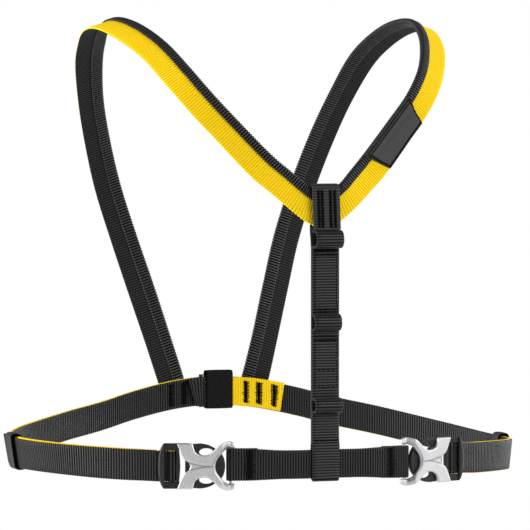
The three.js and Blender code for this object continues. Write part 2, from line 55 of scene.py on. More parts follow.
# Shoulder straps
# Two lengths of 19 mm polyester webbing, yellow outside and black inside, from a mitre on the chest
# over the shoulders to the back of the belt. They are woven in ribs that run from edge to edge.
SHOULDER_MOUNT = (0, 5, 280)  # in the building millimetres: x to the viewer's right, y back, z up
WEB_HALF = 0.8  # half the webbing's thickness
RIB_PITCH = 1.75
RIB_STEP = RIB_PITCH / 4
RIB_DEPTH = 0.3
RIB_ROUND = 0.8
RIB_MEAN = 0.6  # mean height of a rib, so that ribbed webbing keeps its thickness
FIBRE_COLOUR, FIBRE_RELIEF = 0.3, 0.12  # how far loose fibre shows in the webbing's colour and height
STRAP_W = 19.2
STRAP_NECK_SIDE = 1.4  # where the webbing starts inside its binding
# Sections of the right strap: a point on its neck edge and one on its outer edge.
STRAP_ROWS = [
    ((0.4, -119.8, 171.8), (0.4, -120.2, 149.6)),
    ((6, -119.5, 175), (11.4, -119.4, 154.8)),
    ((11.7, -119, 179.3), (23.1, -118, 164)),
    ((19.8, -115, 186.9), (33.2, -114.5, 173)),
    ((29.8, -109.5, 196.3), (44, -110, 182.5)),
    ((51.5, -101, 220), (66, -101, 207.3)),
    ((65.5, -95.5, 236), (80.3, -95, 223.6)),
    ((77, -85, 252), (93, -84, 241.2)),
    ((86.3, -64, 268), (103.3, -64.3, 258.7)),
    ((94, -33, 280), (111.5, -33.5, 271.5)),
    ((98.5, 0, 285), (116.5, 0.5, 278.5)),
    ((96.5, 36, 282), (115.2, 37, 276.5)),
    ((91.6, 64, 272), (110.8, 66, 267)),
    ((87.7, 85, 260), (106.7, 86, 255.6)),
    ((81.4, 107, 236), (98.8, 107.7, 231)),
    ((74, 121, 212), (91.3, 121, 206.3)),
    ((62.6, 132, 176), (80, 132.4, 169.5)),
    ((50.6, 133, 140), (68.3, 133.5, 133.9)),
    ((39.7, 126.3, 104), (57.7, 127, 97.9)),
    ((29.4, 119.8, 68), (47.2, 119.6, 62)),
    ((22.2, 117.4, 44), (40.2, 115.6, 37.9)),
    ((16.2, 117.4, 24), (33.7, 114.8, 18.1)),
]
SIDES = {"left": -1, "right": 1}

# A length of webbing: distance along it, points on its line, and the directions across and out of it.
Strip = namedtuple("Strip", "along line across out")


def unit(vectors):
    return vectors / np.linalg.norm(vectors, axis=-1, keepdims=True)


def distance_along(points):
    steps = np.linalg.norm(np.diff(points, axis=0), axis=1)
    return np.concatenate([[0], np.cumsum(steps)])


def columns_at(where, known, table):
    return np.stack([np.interp(where, known, column) for column in np.asarray(table).T], axis=-1)


def smooth_through(knots, rows):
    """Points at fractional rows on a smooth curve through the knots."""
    knots = np.asarray(knots, float)
    ends = np.vstack([2 * knots[0] - knots[1], knots, 2 * knots[-1] - knots[-2]])
    first = np.clip(np.floor(rows).astype(int), 0, len(knots) - 2)
    w = (rows - first)[:, None]
    p0, p1, p2, p3 = (ends[first + k] for k in range(4))
    d0, d1, d2 = (np.linalg.norm(b - a, axis=1, keepdims=True) ** 0.5
                  for a, b in ((p0, p1), (p1, p2), (p2, p3)))
    leave = ((p1 - p0) / d0 - (p2 - p0) / (d0 + d1) + (p2 - p1) / d1) * d1
    arrive = ((p2 - p1) / d1 - (p3 - p1) / (d1 + d2) + (p3 - p2) / d2) * d1
    cubic = 2 * p1 - 2 * p2 + leave + arrive
    square = -3 * p1 + 3 * p2 - 2 * leave - arrive
    return cubic * w**3 + square * w**2 + leave * w + p1


def shoulder_strip(side, step):
    """The strap as a strip, with its line on the neck edge, and the strap row at each station."""
    neck_knots, outer_knots = zip(*STRAP_ROWS)
    rows = np.linspace(0, len(STRAP_ROWS) - 1, 1500)
    middle = (smooth_through(neck_knots, rows) + smooth_through(outer_knots, rows)) / 2
    length = distance_along(middle)
    along = np.arange(0, length[-1], step)
    rows = np.interp(along, length, rows)
    neck = smooth_through(neck_knots, rows)
    width = smooth_through(outer_knots, rows) - neck
    heading = np.gradient(columns_at(along, length, middle), along, axis=0)
    mirror = np.array([side, 1, 1])
    strip = Strip(along, neck * mirror, width / STRAP_W * mirror, unit(np.cross(width, heading)) * mirror)
    return strip, rows


def webbing_section(low, high, outer=0, inner=0, wraps=(0, 0), spread=8):
    """Closed section of webbing as rows of across, lift and face; outer and inner number the materials of
    its two sides. wraps is how far the outer yarn comes round the low and the high selvedge: -1 none of it,
    0 to the middle of the edge, 1 round all of it."""
    half = WEB_HALF

    def rim(middle, way, angles, wrap, ahead):
        """Corners round one selvedge, each with the yarn of the stretch that follows it."""
        return [(middle + way * half * math.cos(math.radians(a)), half * math.sin(math.radians(a)),
                 outer if a + ahead > -90 * wrap else inner) for a in angles]

    top = np.linspace(low + half, high - half, spread)
    back = np.linspace(high - half, low + half, spread)
    rows = [(x, half, outer) for x in top[:-1]]
    rows += rim(high - half, 1, (90, 60, 45, 30, 0, -30, -45, -60), wraps[1], 0)
    rows += [(x, -half, inner) for x in back[:-1]]
    return np.array(rows + rim(low + half, -1, (-90, -60, -45, -30, 0, 30, 45, 60), wraps[0], 1))


def section_normals(section):
    """Directions out of a closed section at its corners."""
    corners = section[:, :2]
    ahead = np.roll(corners, -1, axis=0) - corners
    area = np.sum(corners[:, 0] * ahead[:, 1] - corners[:, 1] * ahead[:, 0])
    side = np.stack([ahead[:, 1], -ahead[:, 0]], axis=1) * np.sign(area)
    side = unit(side)
    return unit(side + np.roll(side, 1, axis=0))


def ribs_at(along, pitch):
    """Height of the weave's ribs: 1 on a crest, 0 in the sharp valley between two."""
    return np.abs(np.cos(np.pi * along / pitch)) ** RIB_ROUND


def add_object(name, data):
    thing = bpy.data.objects.new(name, data)
    bpy.context.scene.collection.objects.link(thing)
    return thing


def store_vectors(mesh, label, values):
    store = mesh.attributes.new(label, "FLOAT_VECTOR", "POINT")
    store.data.foreach_set("vector", np.asarray(values, np.float32).ravel())


def keep_modified(piece):
    """Gives a piece the mesh that its modifiers make, and takes the modifiers off."""
    evaluated = piece.evaluated_get(bpy.context.evaluated_depsgraph_get())
    mesh = bpy.data.meshes.new_from_object(evaluated)
    piece.modifiers.clear()
    piece.data = mesh


def new_piece(name, points, faces, face_materials, materials, thread=None):
    """A smooth mesh object from points in building millimetres, turned so that its faces point out."""
    place = (np.asarray(points, float) - SHOULDER_MOUNT) / 1000
    mesh = bpy.data.meshes.new(name)
    mesh.from_pydata(place.tolist(), [], faces)
    mesh.calc_loop_triangles()
    corners = np.empty(len(mesh.loop_triangles) * 3, np.int32)
    mesh.loop_triangles.foreach_get("vertices", corners)
    a, b, c = (place[corners[k::3]] for k in range(3))
    if np.sum(a * np.cross(b, c)) < 0:
        mesh.flip_normals()
    for material in materials:
        mesh.materials.append(material)
    mesh.polygons.foreach_set("material_index", np.asarray(face_materials, np.int32))
    mesh.polygons.foreach_set("use_smooth", np.ones(len(faces), bool))
    if thread is not None:
        store_vectors(mesh, "thread", thread)
    mesh.update()
    return add_object(name, mesh)


def band_piece(name, points, along, across, kinds, materials, ends=None):
    """A woven band from rings of points, which keeps the distances along and across it for its weave. It
    closes on itself, or has two cut ends of the material ends."""
    rings, count = points.shape[:2]
    i = np.arange(rings if ends is None else rings - 1)[:, None] * count
    j = np.arange(count)[None]
    ahead = (i + count) % (rings * count)
    k = (j + 1) % count
    faces = np.stack([i + j, ahead + j, ahead + k, i + k], axis=-1).reshape(-1, 4).tolist()
    kinds = kinds[:len(i)].ravel().tolist()
    if ends is not None:
        last = (rings - 1) * count
        faces += [list(range(count))[::-1], list(range(last, last + count))]
        kinds += [ends, ends]
    thread = np.zeros(points.shape)
    thread[..., 0] = along[:, None]
    thread[..., 1] = across
    return new_piece(name, points.reshape(-1, 3), faces, kinds, materials, thread.reshape(-1, 3))


def sweep(name, strip, section, materials, pitch=RIB_PITCH, depth=RIB_DEPTH, kinds=None, ends=0):
    """A closed strip of webbing: its section carried along, with the weave's ribs raised on it. kinds gives
    the materials by station and corner where they change along it, and ends that of its cut ends."""
    normal = section_normals(section)
    rise = depth * (ribs_at(strip.along, pitch) - RIB_MEAN)
    across = section[None, :, 0] + rise[:, None] * normal[None, :, 0]
    lift = section[None, :, 1] + rise[:, None] * normal[None, :, 1]
    points = (strip.line[:, None] + strip.across[:, None] * across[..., None]
              + strip.out[:, None] * lift[..., None])
    if kinds is None:
        kinds = np.tile(section[:, 2], (len(strip.along), 1))
    return band_piece(name, points, strip.along, section[:, 0], kinds, materials, ends)


def add_node(tree, kind, links=(), **settings):
    """A node with its settings made; links gives input name or number to a value or another's output."""
    node = tree.nodes.new(kind)
    for key, value in settings.items():
        setattr(node, key, value)
    for key, value in dict(links).items():
        if isinstance(value, bpy.types.NodeSocket):
            tree.links.new(value, node.inputs[key])
        else:
            node.inputs[key].default_value = value
    return node


def calc(tree, operation, *values):
    return add_node(tree, "ShaderNodeMath", dict(enumerate(values)), operation=operation).outputs[0]


def effect_group(name, inputs, outputs):
    """An empty shader node group with its named sockets, and its two end nodes."""
    tree = bpy.data.node_groups.new(name, "ShaderNodeTree")
    for label, kind, value in inputs:
        socket = tree.interface.new_socket(label, in_out="INPUT", socket_type=kind)
        if value is not None:
            socket.default_value = value
    for label in outputs:
        tree.interface.new_socket(label, in_out="OUTPUT", socket_type="NodeSocketFloat")
    return tree, tree.nodes.new("NodeGroupInput").outputs, tree.nodes.new("NodeGroupOutput").inputs


def make_weave_group():
    """Plain weave on a strip: cross ribs split into yarns that shift by half from rib to rib."""
    tree, given, put = effect_group("woven_ribs", [
        ("Thread", "NodeSocketVector", None),
        ("Rib pitch", "NodeSocketFloat", RIB_PITCH),
        ("Yarn pitch", "NodeSocketFloat", 1.2),
        ("Yarn depth", "NodeSocketFloat", 0.4),
        ("Valley width", "NodeSocketFloat", 1.0),
    ], ["Height", "Valley", "Fibre"])
    split = add_node(tree, "ShaderNodeSeparateXYZ", {0: given["Thread"]}).outputs
    phase = calc(tree, "DIVIDE", split[0], given["Rib pitch"])
    crest = calc(tree, "ABSOLUTE", calc(tree, "COSINE", calc(tree, "MULTIPLY", phase, math.pi)))
    rib = calc(tree, "FLOOR", calc(tree, "ADD", phase, 0.5))
    shift = calc(tree, "MULTIPLY", calc(tree, "MODULO", rib, 2.0), 0.5)
    column = calc(tree, "ADD", calc(tree, "DIVIDE", split[1], given["Yarn pitch"]), shift)
    yarn = calc(tree, "ABSOLUTE", calc(tree, "SINE", calc(tree, "MULTIPLY", column, math.pi)))
    dip = calc(tree, "MULTIPLY", calc(tree, "SUBTRACT", 1.0, yarn), given["Yarn depth"])
    height = calc(tree, "MULTIPLY", crest, calc(tree, "SUBTRACT", 1.0, dip))
    stretch = add_node(tree, "ShaderNodeVectorMath", {0: given["Thread"], 1: (0.9, 3.0, 1.0)},
                       operation="MULTIPLY").outputs[0]
    fibre = add_node(tree, "ShaderNodeTexNoise", {"Vector": stretch, "Scale": 1.6, "Detail": 3.0})
    tree.links.new(height, put["Height"])
    valley = calc(tree, "SUBTRACT", 1.0, calc(tree, "POWER", height, given["Valley width"]))
    tree.links.new(valley, put["Valley"])
    tree.links.new(fibre.outputs[0], put["Fibre"])
    return tree


weave_group = make_weave_group()


def blank_material(name):
    """A material with its Principled shader, and the node tree to build on."""
    material = bpy.data.materials.new(name)
    material.use_nodes = True
    return material, material.node_tree, material.node_tree.nodes["Principled BSDF"]


def set_shader(shader, **values):
    for key, value in values.items():
        shader.inputs[key.replace("_", " ")].default_value = value


def mix_colours(tree, share, low, high):
    mix = add_node(tree, "ShaderNodeMix", {0: share, 6: (*low, 1), 7: (*high, 1)}, data_type="RGBA")
    return mix.outputs[2]


def dark(value):
    """Near black and a touch blue, as dyed polyester and moulded nylon are."""
    return value, value, value * 1.05


def finish_surface(tree, shader, fine, rough, relief, bump):
    """Roughness that follows a fine noise between two values, and a bump with its strength and height."""
    low, high = rough
    strength, height = bump
    tree.links.new(calc(tree, "MULTIPLY_ADD", fine, high - low, low), shader.inputs["Roughness"])
    dent = add_node(tree, "ShaderNodeBump", {"Strength": strength, "Distance": height, "Height": relief})
    tree.links.new(dent.outputs[0], shader.inputs["Normal"])


def webbing_material(name, crest, valley, rough, gloss, sheen=0.0, bump=0.5, **weave_sizes):
    """Woven polyester: yarn colour and gloss on the ribs, deeper colour and painted shade between them, fibre
    bump.
    """
    material, tree, shader = blank_material(name)
    thread = add_node(tree, "ShaderNodeAttribute", attribute_name="thread").outputs["Vector"]
    weave = add_node(tree, "ShaderNodeGroup", node_tree=weave_group)
    tree.links.new(thread, weave.inputs["Thread"])
    set_shader(weave, **weave_sizes)
    depth = calc(tree, "MULTIPLY", weave.outputs["Valley"],
                 calc(tree, "MULTIPLY_ADD", weave.outputs["Fibre"], FIBRE_COLOUR, 1 - FIBRE_COLOUR / 2))
    # painted shade: the base colour goes from the crest colour to the darker valley colour between the ribs
    tree.links.new(mix_colours(tree, depth, crest, valley), shader.inputs["Base Color"])
    relief = calc(tree, "MULTIPLY_ADD", weave.outputs["Fibre"], FIBRE_RELIEF, weave.outputs["Height"])
    finish_surface(tree, shader, weave.outputs["Fibre"], rough, relief, (bump, 0.0002))
    tree.links.new(calc(tree, "MULTIPLY_ADD", depth, -gloss, gloss), shader.inputs["Specular IOR Level"])
    tree.links.new(calc(tree, "MULTIPLY_ADD", depth, -sheen, sheen), shader.inputs["Sheen Weight"])
    set_shader(shader, Sheen_Roughness=0.4)
    return material


yellow_webbing = webbing_material("yellow_webbing", (0.93, 0.67, 0.008), (0.78, 0.46, 0.004), (0.62, 0.82),
                                  0.15, Yarn_pitch=1.5, Yarn_depth=0.06, Valley_width=1.5)
black_webbing = webbing_material("black_webbing", dark(0.020), dark(0.002), (0.34, 0.50), 0.38,
                                 sheen=0.06, bump=0.25, Yarn_depth=0.15, Valley_width=1.3)
black_lining = webbing_material("black_lining", dark(0.034), dark(0.002), (0.55, 0.75), 0.2,
                                bump=0.9, Yarn_pitch=1.5, Yarn_depth=0.6)


def fix_to_harness(piece, slot, *nodes):
    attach(piece, "root")
    if nodes:
        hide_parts(*nodes)


shoulder_strips = {}
for name, side in SIDES.items():
    strip, strap_row = shoulder_strip(side, RIB_STEP)
    shoulder_strips[name] = strip
    section = webbing_section(STRAP_NECK_SIDE, STRAP_W, 0, 1)
    webbing = sweep("shoulder_webbing_" + name, strip, section, [yellow_webbing, black_lining])
    fix_to_harness(webbing, "strap_yellow", "shoulder_strap_" + name)

# Edge binding
# Black ribbed tape folded lengthwise round the neck edge of each shoulder strap and sewn through, with a
# narrow leg on the yellow face and a wider one on the lining. It keeps the edge soft against the neck.
BINDING_PITCH = 1.9
BINDING_DEPTH = 0.7
BINDING_OUTER_LEG = 6.0
BINDING_INNER_LEG = 8.4
BINDING_LOW = 1.1  # the tape's inner and outer face, from the middle of the strap
BINDING_HIGH = 1.9
BINDING_EDGE = 0.6  # width of the painted highlight along the wider leg's edge


def binding_section():
    """The tape's section: round the outside from one leg to the other, and back along the inside."""
    low, high = BINDING_LOW, BINDING_HIGH
    outside = [(BINDING_OUTER_LEG, low + 0.1), (BINDING_OUTER_LEG - 0.1, high - 0.2)]
    outside += [(x, high) for x in (BINDING_OUTER_LEG - 0.5, 3.4, 2)]
    outside += [(2 - 2 * math.sin(t), high * math.cos(t)) for t in np.radians([30, 60, 90, 120, 150])]
    outside += [(x, -high) for x in (2, 4, 6, BINDING_INNER_LEG - 0.5)]
    outside += [(BINDING_INNER_LEG - 0.1, 0.2 - high), (BINDING_INNER_LEG, -low - 0.1)]
    inside = [(5, -low), (1.5, -low), (1.1, 0), (1.5, low)]
    # the stretch of the wider leg by its edge takes the lighter second material: a painted highlight
    edge = BINDING_INNER_LEG - BINDING_EDGE
    return np.array([(across, lift, 1 if across > edge else 0) for across, lift in outside + inside])


binding_tape = webbing_material("binding_tape", dark(0.036), dark(0.002), (0.40, 0.60), 0.6,
                                Rib_pitch=BINDING_PITCH, Yarn_pitch=0.8, Yarn_depth=0.2, Valley_width=2.5)
# painted highlight along the edge of the binding's wider leg
tape_edge_highlight = webbing_material("tape_edge_highlight", dark(0.055), dark(0.030), (0.45, 0.65), 0.4,
                                 Rib_pitch=BINDING_PITCH, Yarn_depth=0.2)
for name, side in SIDES.items():
    strip, _ = shoulder_strip(side, BINDING_PITCH / 6)
    tape = sweep("edge_binding_" + name, strip, binding_section(), [binding_tape, tape_edge_highlight],
                 BINDING_PITCH, BINDING_DEPTH)
    fix_to_harness(tape, "binding_black", "shoulder_binding_" + name)

# Label patch
# A bare panel of dark soft rubber on the right strap, with a black groove round it and a border that is
# sewn through. It lies on the yellow face and steps up over the leg of the binding to the neck edge.
LABEL_NECK_ROWS = (4.04, 5.88)
LABEL_OUTER_ROWS = (4.25, 5.58)
LABEL_INSET = 0.6
LABEL_THICK = 1.0
LABEL_BORDER = 1.5
LABEL_NECK_BORDER = 2.9
LABEL_BORDER_DROP = 0.25
LABEL_GROOVE, LABEL_GROOVE_HALF = 0.4, 0.35
LABEL_RIM = 0.3  # width of the slope from the border up to the panel
LABEL_EDGE_ROUND, LABEL_EDGE_FALL = 0.5, 0.4
LABEL_STEP = 4.0  # width over which it steps down from the binding to the webbing
LABEL_NECK_ROUND = 2.4
LABEL_LIE = 0.3  # its clearance over the binding's ribs
LABEL_COUNTS = (160, 80)  # steps along and across


def strip_place(strip, along, across, lift):
    """Points on a strip at distances along it, across it and out of it."""
    across, lift = np.asarray(across, float)[..., None], np.asarray(lift, float)[..., None]
    tables = strip.line, strip.across, strip.out
    line, sideways, out = (columns_at(along, strip.along, table) for table in tables)
    return line + sideways * across + out * lift


def label_base(across):
    """Lift of the surface under the label: the binding's leg, then the yellow webbing."""
    high = BINDING_HIGH + LABEL_LIE
    step = np.clip((across - BINDING_OUTER_LEG + 0.2) / LABEL_STEP, 0, 1)
    round_off = np.clip(1 - across / LABEL_NECK_ROUND, 0, 1) ** 2
    return high - round_off + (BINDING_LOW - high) * step * step * (3 - 2 * step)


def label_place(share, over, lift):
    """Point on the label: share along it, over from its neck side, and lift from what it lies on."""
    neck, outer = (np.interp(share, (0, 1), ends) for ends in (LABEL_NECK_ROWS, LABEL_OUTER_ROWS))
    rows = (1 - over) * neck + over * outer
    across = LABEL_INSET + over * (STRAP_W - LABEL_INSET)
    strip = shoulder_strips["right"]
    return strip_place(strip, np.interp(rows, strap_row, strip.along), across, label_base(across) + lift)


def label_sizes():
    """Length along the label's middle and width across it."""
    middle = label_place(np.array([0.0, 1.0]), np.array([0.5, 0.5]), np.zeros(2))
    return np.linalg.norm(middle[1] - middle[0]), STRAP_W - LABEL_INSET


def grained_material(name, colours, cloud, grain, rough, bump=(0, 0), **shader_values):
    """A moulded or cast surface. cloud and grain are the scale and detail of two noises: the first blends the
    two colours, and the second sets the roughness and the bump."""
    material, tree, shader = blank_material(name)
    where = add_node(tree, "ShaderNodeTexCoord").outputs["Object"]
    broad, fine = (add_node(tree, "ShaderNodeTexNoise", {"Vector": where, "Scale": scale, "Detail": detail})
                   for scale, detail in (cloud, grain))
    tree.links.new(mix_colours(tree, broad.outputs[0], *colours), shader.inputs["Base Color"])
    finish_surface(tree, shader, fine.outputs[0], rough, fine.outputs[0], bump)
    set_shader(shader, **shader_values)
    return material


def rubber_material(name, value, rough, grain_scale):
    """Soft moulded rubber with a fine grain."""
    grain = (grain_scale, 4.0)
    return grained_material(name, (dark(value * 0.7), dark(value)), grain, grain, (rough - 0.1, rough + 0.1),
                            (0.25, 0.0001), Specular_IOR_Level=0.35)


def make_label():
    along_count, across_count = LABEL_COUNTS
    length, width = label_sizes()
    share, over = np.meshgrid(np.linspace(0, 1, along_count + 1), np.linspace(0, 1, across_count + 1),
                              indexing="ij")
    ends = np.minimum(share, 1 - share) * length
    edge = np.minimum(ends, np.minimum(over, 1 - over) * width)
    from_neck = over * width + LABEL_BORDER - LABEL_NECK_BORDER
    to_groove = np.minimum(np.minimum(ends, from_neck), (1 - over) * width) - LABEL_BORDER
    rim = 1 - np.clip(to_groove / LABEL_RIM, 0, 1)
    fall = LABEL_EDGE_FALL * np.clip(1 - edge / LABEL_EDGE_ROUND, 0, 1) ** 2
    groove = LABEL_GROOVE * np.exp(-((to_groove / LABEL_GROOVE_HALF) ** 2))
    top = LABEL_THICK - LABEL_BORDER_DROP * rim - groove - fall
    upper = label_place(share.ravel(), over.ravel(), top.ravel())
    lower = label_place(share.ravel(), over.ravel(), np.zeros(share.size))
    grid = np.arange(share.size).reshape(share.shape)
    quads = np.stack([grid[:-1, :-1], grid[1:, :-1], grid[1:, 1:], grid[:-1, 1:]], axis=-1).reshape(-1, 4)
    ring = np.concatenate([grid[0, :-1], grid[:-1, -1], grid[-1, :0:-1], grid[:0:-1, 0]])
    nxt = np.roll(ring, -1)
    walls = np.stack([ring, nxt, nxt + share.size, ring + share.size], axis=-1)
    faces = quads.tolist() + (quads[:, ::-1] + share.size).tolist() + walls.tolist()
    middle = to_groove.ravel()[quads].mean(axis=1)
    kinds = np.where(middle > LABEL_GROOVE_HALF, 0, np.where(middle > -LABEL_GROOVE_HALF, 2, 1))
    kinds = np.concatenate([kinds, np.ones(len(quads) + len(walls), int)])
    rubbers = [rubber_material("label_rubber", 0.028, 0.6, 900.0),
               rubber_material("label_border", 0.024, 0.7, 1500.0),
               rubber_material("label_groove", 0.004, 0.8, 1500.0)]
    return new_piece("label_panel", np.concatenate([upper, lower]), faces, kinds, rubbers)


fix_to_harness(make_label(), "label_grey", "label_patch")

# Front strap
# Two layers of 18 mm black webbing: a base that folds over the mitre of the shoulder straps, and a face
# layer sewn on it that stands off in three gear loops and turns under round the chest strap.
FRONT_X = 2.3
FRONT_W = 18.4
FRONT_BASE_F = 115.9  # distances forward of the harness's centre
FRONT_FACE_F = 117.9
FRONT_OVER_F = 123.4
FRONT_TOP_Z = 179.2
FRONT_SEAM_Z = 150
FRONT_FOLD_END_Z, FRONT_FACE_TOP_Z = FRONT_SEAM_Z - 0.4, FRONT_SEAM_Z + 1
FRONT_LEAVE_Z = (17.2, 11.2)  # where the face layer leaves the base and reaches the chest strap's front
FRONT_FOOT_Z = 12.6  # foot of the base, and end of the face layer that is turned up to it
FRONT_TURN_R = 1.0  # height of the turn under the chest strap
LOOP_CORNER = 1.2
FRONT_LEAN = (0.75, 0.95)  # shift to the left where the fold's front ends, and more of it by the top
FRONT_LEAN_Z, FRONT_LEAN_RISE = 138, 11  # where the first shift starts, and the height it takes
FRONT_TURN_IN, FRONT_TURN_Z = 0.07, (7, 11.5)  # how far the turn at its foot is drawn in, and where
GEAR_LOOPS = [(143.8, 11.5, 11), (90.5, 10.8, 7), (37.6, 9.6, 9)]  # middle height, outer height, reach
CHEST_F = 117.3
CHEST_HALF_W = 9.5
LAYER = 1.9  # from the middle of one layer of webbing to the middle of the next


def arc(f, z, radius, start, end, radius_z=None):
    """Points of an arc in side view, as forward distance and height, a step for each 6 degrees."""
    angles = np.radians(np.linspace(start, end, int(abs(end - start) / 6) + 1))
    return [(f + radius * math.cos(a), z + (radius_z or radius) * math.sin(a)) for a in angles]


def front_strip(line):
    """A strip of webbing that follows a line in side view, with its face on the line's left hand."""
    line = np.array(line, float)
    length = distance_along(line)
    along = np.arange(0, length[-1], RIB_STEP)
    at = columns_at(along, length, line)
    heading = unit(np.gradient(at, along, axis=0))
    zero = np.zeros(len(along))
    points = np.stack([zero + FRONT_X, -at[:, 0], at[:, 1]], axis=1)
    out = np.stack([zero, heading[:, 1], heading[:, 0]], axis=1)
    return Strip(along, points, np.tile([1.0, 0, 0], (len(along), 1)), out)


def front_base_line():
    middle = (FRONT_BASE_F + FRONT_OVER_F) / 2
    radius = (FRONT_OVER_F - FRONT_BASE_F) / 2
    fold = arc(middle, FRONT_TOP_Z - WEB_HALF - radius, radius, 180, 0)
    return [(FRONT_BASE_F, FRONT_FOOT_Z)] + fold + [(FRONT_OVER_F, FRONT_FOLD_END_Z)]


def front_face_line():
    corner = LOOP_CORNER
    line = [(FRONT_FACE_F, FRONT_FACE_TOP_Z)]
    for z, height, reach in GEAR_LOOPS:
        radius = height / 2 - WEB_HALF
        line += arc(FRONT_FACE_F + corner, z + radius + corner, corner, 180, 270)
        line += arc(FRONT_FACE_F + reach - WEB_HALF - radius, z, radius, 90, -90)
        line += arc(FRONT_FACE_F + corner, z - radius - corner, corner, 90, 180)
    line += zip((FRONT_FACE_F, CHEST_F + LAYER), FRONT_LEAVE_Z)
    line += arc(CHEST_F, -CHEST_HALF_W, LAYER, 0, -180, FRONT_TURN_R)
    return line + [(CHEST_F - LAYER, FRONT_FOOT_Z)]


def smooth_step(x, start, end):
    share = np.clip((x - start) / (end - start), 0, 1)
    return share * share * (3 - 2 * share)


def wrap_narrowing(strip):
    """Width of the face layer to its full width: the turn under the chest strap is drawn in."""
    return 1 - FRONT_TURN_IN * smooth_step(-strip.line[:, 2], *FRONT_TURN_Z)


def leaning(strip):
    """The folded top set askew, as the mitre of the shoulder straps pulls it."""
    z = strip.line[:, 2]
    foot, more = FRONT_LEAN
    strip.line[:, 0] -= foot * np.clip((z - FRONT_LEAN_Z) / FRONT_LEAN_RISE, 0, 1)
    strip.line[:, 0] -= more * np.clip((z - FRONT_SEAM_Z) / (FRONT_TOP_Z - FRONT_SEAM_Z), 0, 1)
    return strip


front_base = leaning(front_strip(front_base_line()))
front_face = front_strip(front_face_line())
front_face = front_face._replace(across=front_face.across * wrap_narrowing(front_face)[:, None])
front_section = webbing_section(-FRONT_W / 2, FRONT_W / 2)
sewn_webbing = webbing_material("sewn_webbing", dark(0.034), dark(0.012), (0.50, 0.70), 0.45, Yarn_depth=0.3)
SEWN_RIB_DEPTH = 0.1  # pressed flat under the seams
for name, strip, material, depth in (("front_strap_base", front_base, sewn_webbing, SEWN_RIB_DEPTH),
                                     ("front_strap_face", front_face, black_webbing, RIB_DEPTH)):
    webbing = sweep(name + "_webbing", strip, front_section, [material], depth=depth)
    fix_to_harness(webbing, "webbing_black", name)

# Belt
# Two lengths of 20 mm webbing round the chest, black inside and yellow outside. Each folds round the slide
# at the back and round its buckle's centre bar in front, and ends in a tail laid back over itself.
WEB_W = 20
GAP = 0.3
BELT_REACH = {"left": 170.5, "right": 164.5}
BELT_BACK = 114.5
BELT_FRONT = 113.4
BELT_FULL = 2  # an ellipse; the right side's front is fuller
BELT_FULL_RIGHT_FRONT = 2.2
BELT_LEAN = 4.3  # the belt hangs higher on the left than on the right
BELT_FLARE = {"left": 0.15, "right": 0.1}  # how far its upper edge stands out at the sides, to its height
BELT_FLARE_SPAN = (0.72, 0.97)  # shares of the reach where that starts and is full
BELT_RISE = [(0, 31.6), (10, 28.5), (20, 22.8), (30, 16), (40, 11.3), (50, 7), (60, 3.5), (75, 0.2),
             (90, -1), (120, -0.6), (150, -0.8), (180, 0)]  # degrees round from the back, and height
TAIL_LIFT = 1.9
TAIL_FLARE = (86, 78, 4)  # turns where the tail leaves the belt and ends, and its lift at the end
# How far the tail hangs below the belt by the buckle and by the keeper, and at its end.
TAIL_DROP = {"left": (0.25, 0.85), "right": (0.12, 0.25)}
TAIL_END_DROP = {"left": 0.9, "right": 1.2}
TAIL_SETTLE, TAIL_END = 20, 26  # lengths of the tail that the first and the last of these take
TAIL_SLANT = 5  # how much further the tail's upper corner reaches
TAIL_DESCENT = 55  # degrees that the tail turns down behind the buckle's bar
TAB_RISE, TAB_LENGTH = {"left": 0, "right": 0.9}, 35  # how far the folded end slants up, and over what length
# How far yellow yarn comes round the lower and the upper selvedge, and the lengths at the folded end and at
# the tail's end that are all black.
BELT_WRAPS = {"left": (-1, 0.55), "right": (0.55, 0)}
TAIL_WRAPS = {"left": (-1, 0), "right": (0.5, 0)}
BELT_PLAIN = {"left": (9, 24), "right": (0, 24)}
SLIDE_BAR_X = 10.2
SLIDE_BAR_W = 2.4
SLIDE_BAR_T = 2.0
FOLD_ENDS = {"left": (19.6, 14.5), "right": (49.3, 46.4)}  # upper and lower corner's distance along x
BUCKLE_X = {"left": 76, "right": 77.2}
BUCKLE_SINK = -1.9
BUCKLE_MEET_X, BUCKLE_MEET_U = 36, -28  # where the belt leaves its curve for the buckle, and is straight
FOLD_SETTLE = 11  # length over which a folded end closes up on the belt
FOLD_SHORT_CLOSES = 1  # how far a fold shorter than that closes up
FOLD_INSET = 0.6  # from the slide bar's edge to the middle of the fold round it
FOLD_CLEAR = 2  # degrees from the slide bar to where the belt's own line starts
CENTRE_BAR_U, CENTRE_BAR_W, CENTRE_BAR_LOW, CENTRE_BAR_T = -18.5, 2.2, 1.1, 1.8

Flat = namedtuple("Flat", "origin along out")
rise_curve = smooth_through(BELT_RISE, np.linspace(0, len(BELT_RISE) - 1, 200))


def belt_fullness(name, front):
    return BELT_FULL_RIGHT_FRONT if name == "right" and front else BELT_FULL


def signed_power(value, power):
    return math.copysign(abs(value) ** power, value)


def belt_frame(name, turn):
    """Flat frame that touches the belt's plan; turn is 0 at the back and pi at the front."""
    side, reach = SIDES[name], BELT_REACH[name]
    front = turn > math.pi / 2
    depth = BELT_FRONT if front else BELT_BACK
    full = belt_fullness(name, front)
    sin, cos = signed_power(math.sin(turn), 2 / full), signed_power(math.cos(turn), 2 / full)
    height = np.interp(math.degrees(turn), *rise_curve.T) - side * BELT_LEAN * math.sin(turn) ** 4
    slope_x, slope_y = signed_power(sin, full - 1) / reach, signed_power(cos, full - 1) / depth
    out = unit(np.array([side * slope_x, slope_y, 0.0]))
    along = np.array([side * out[1], -side * out[0], 0.0])
    return Flat(np.array([side * reach * sin, depth * cos, height]), along, out)


def in_flat(flat, u, n):
    return flat.origin + flat.along * u + flat.out * n


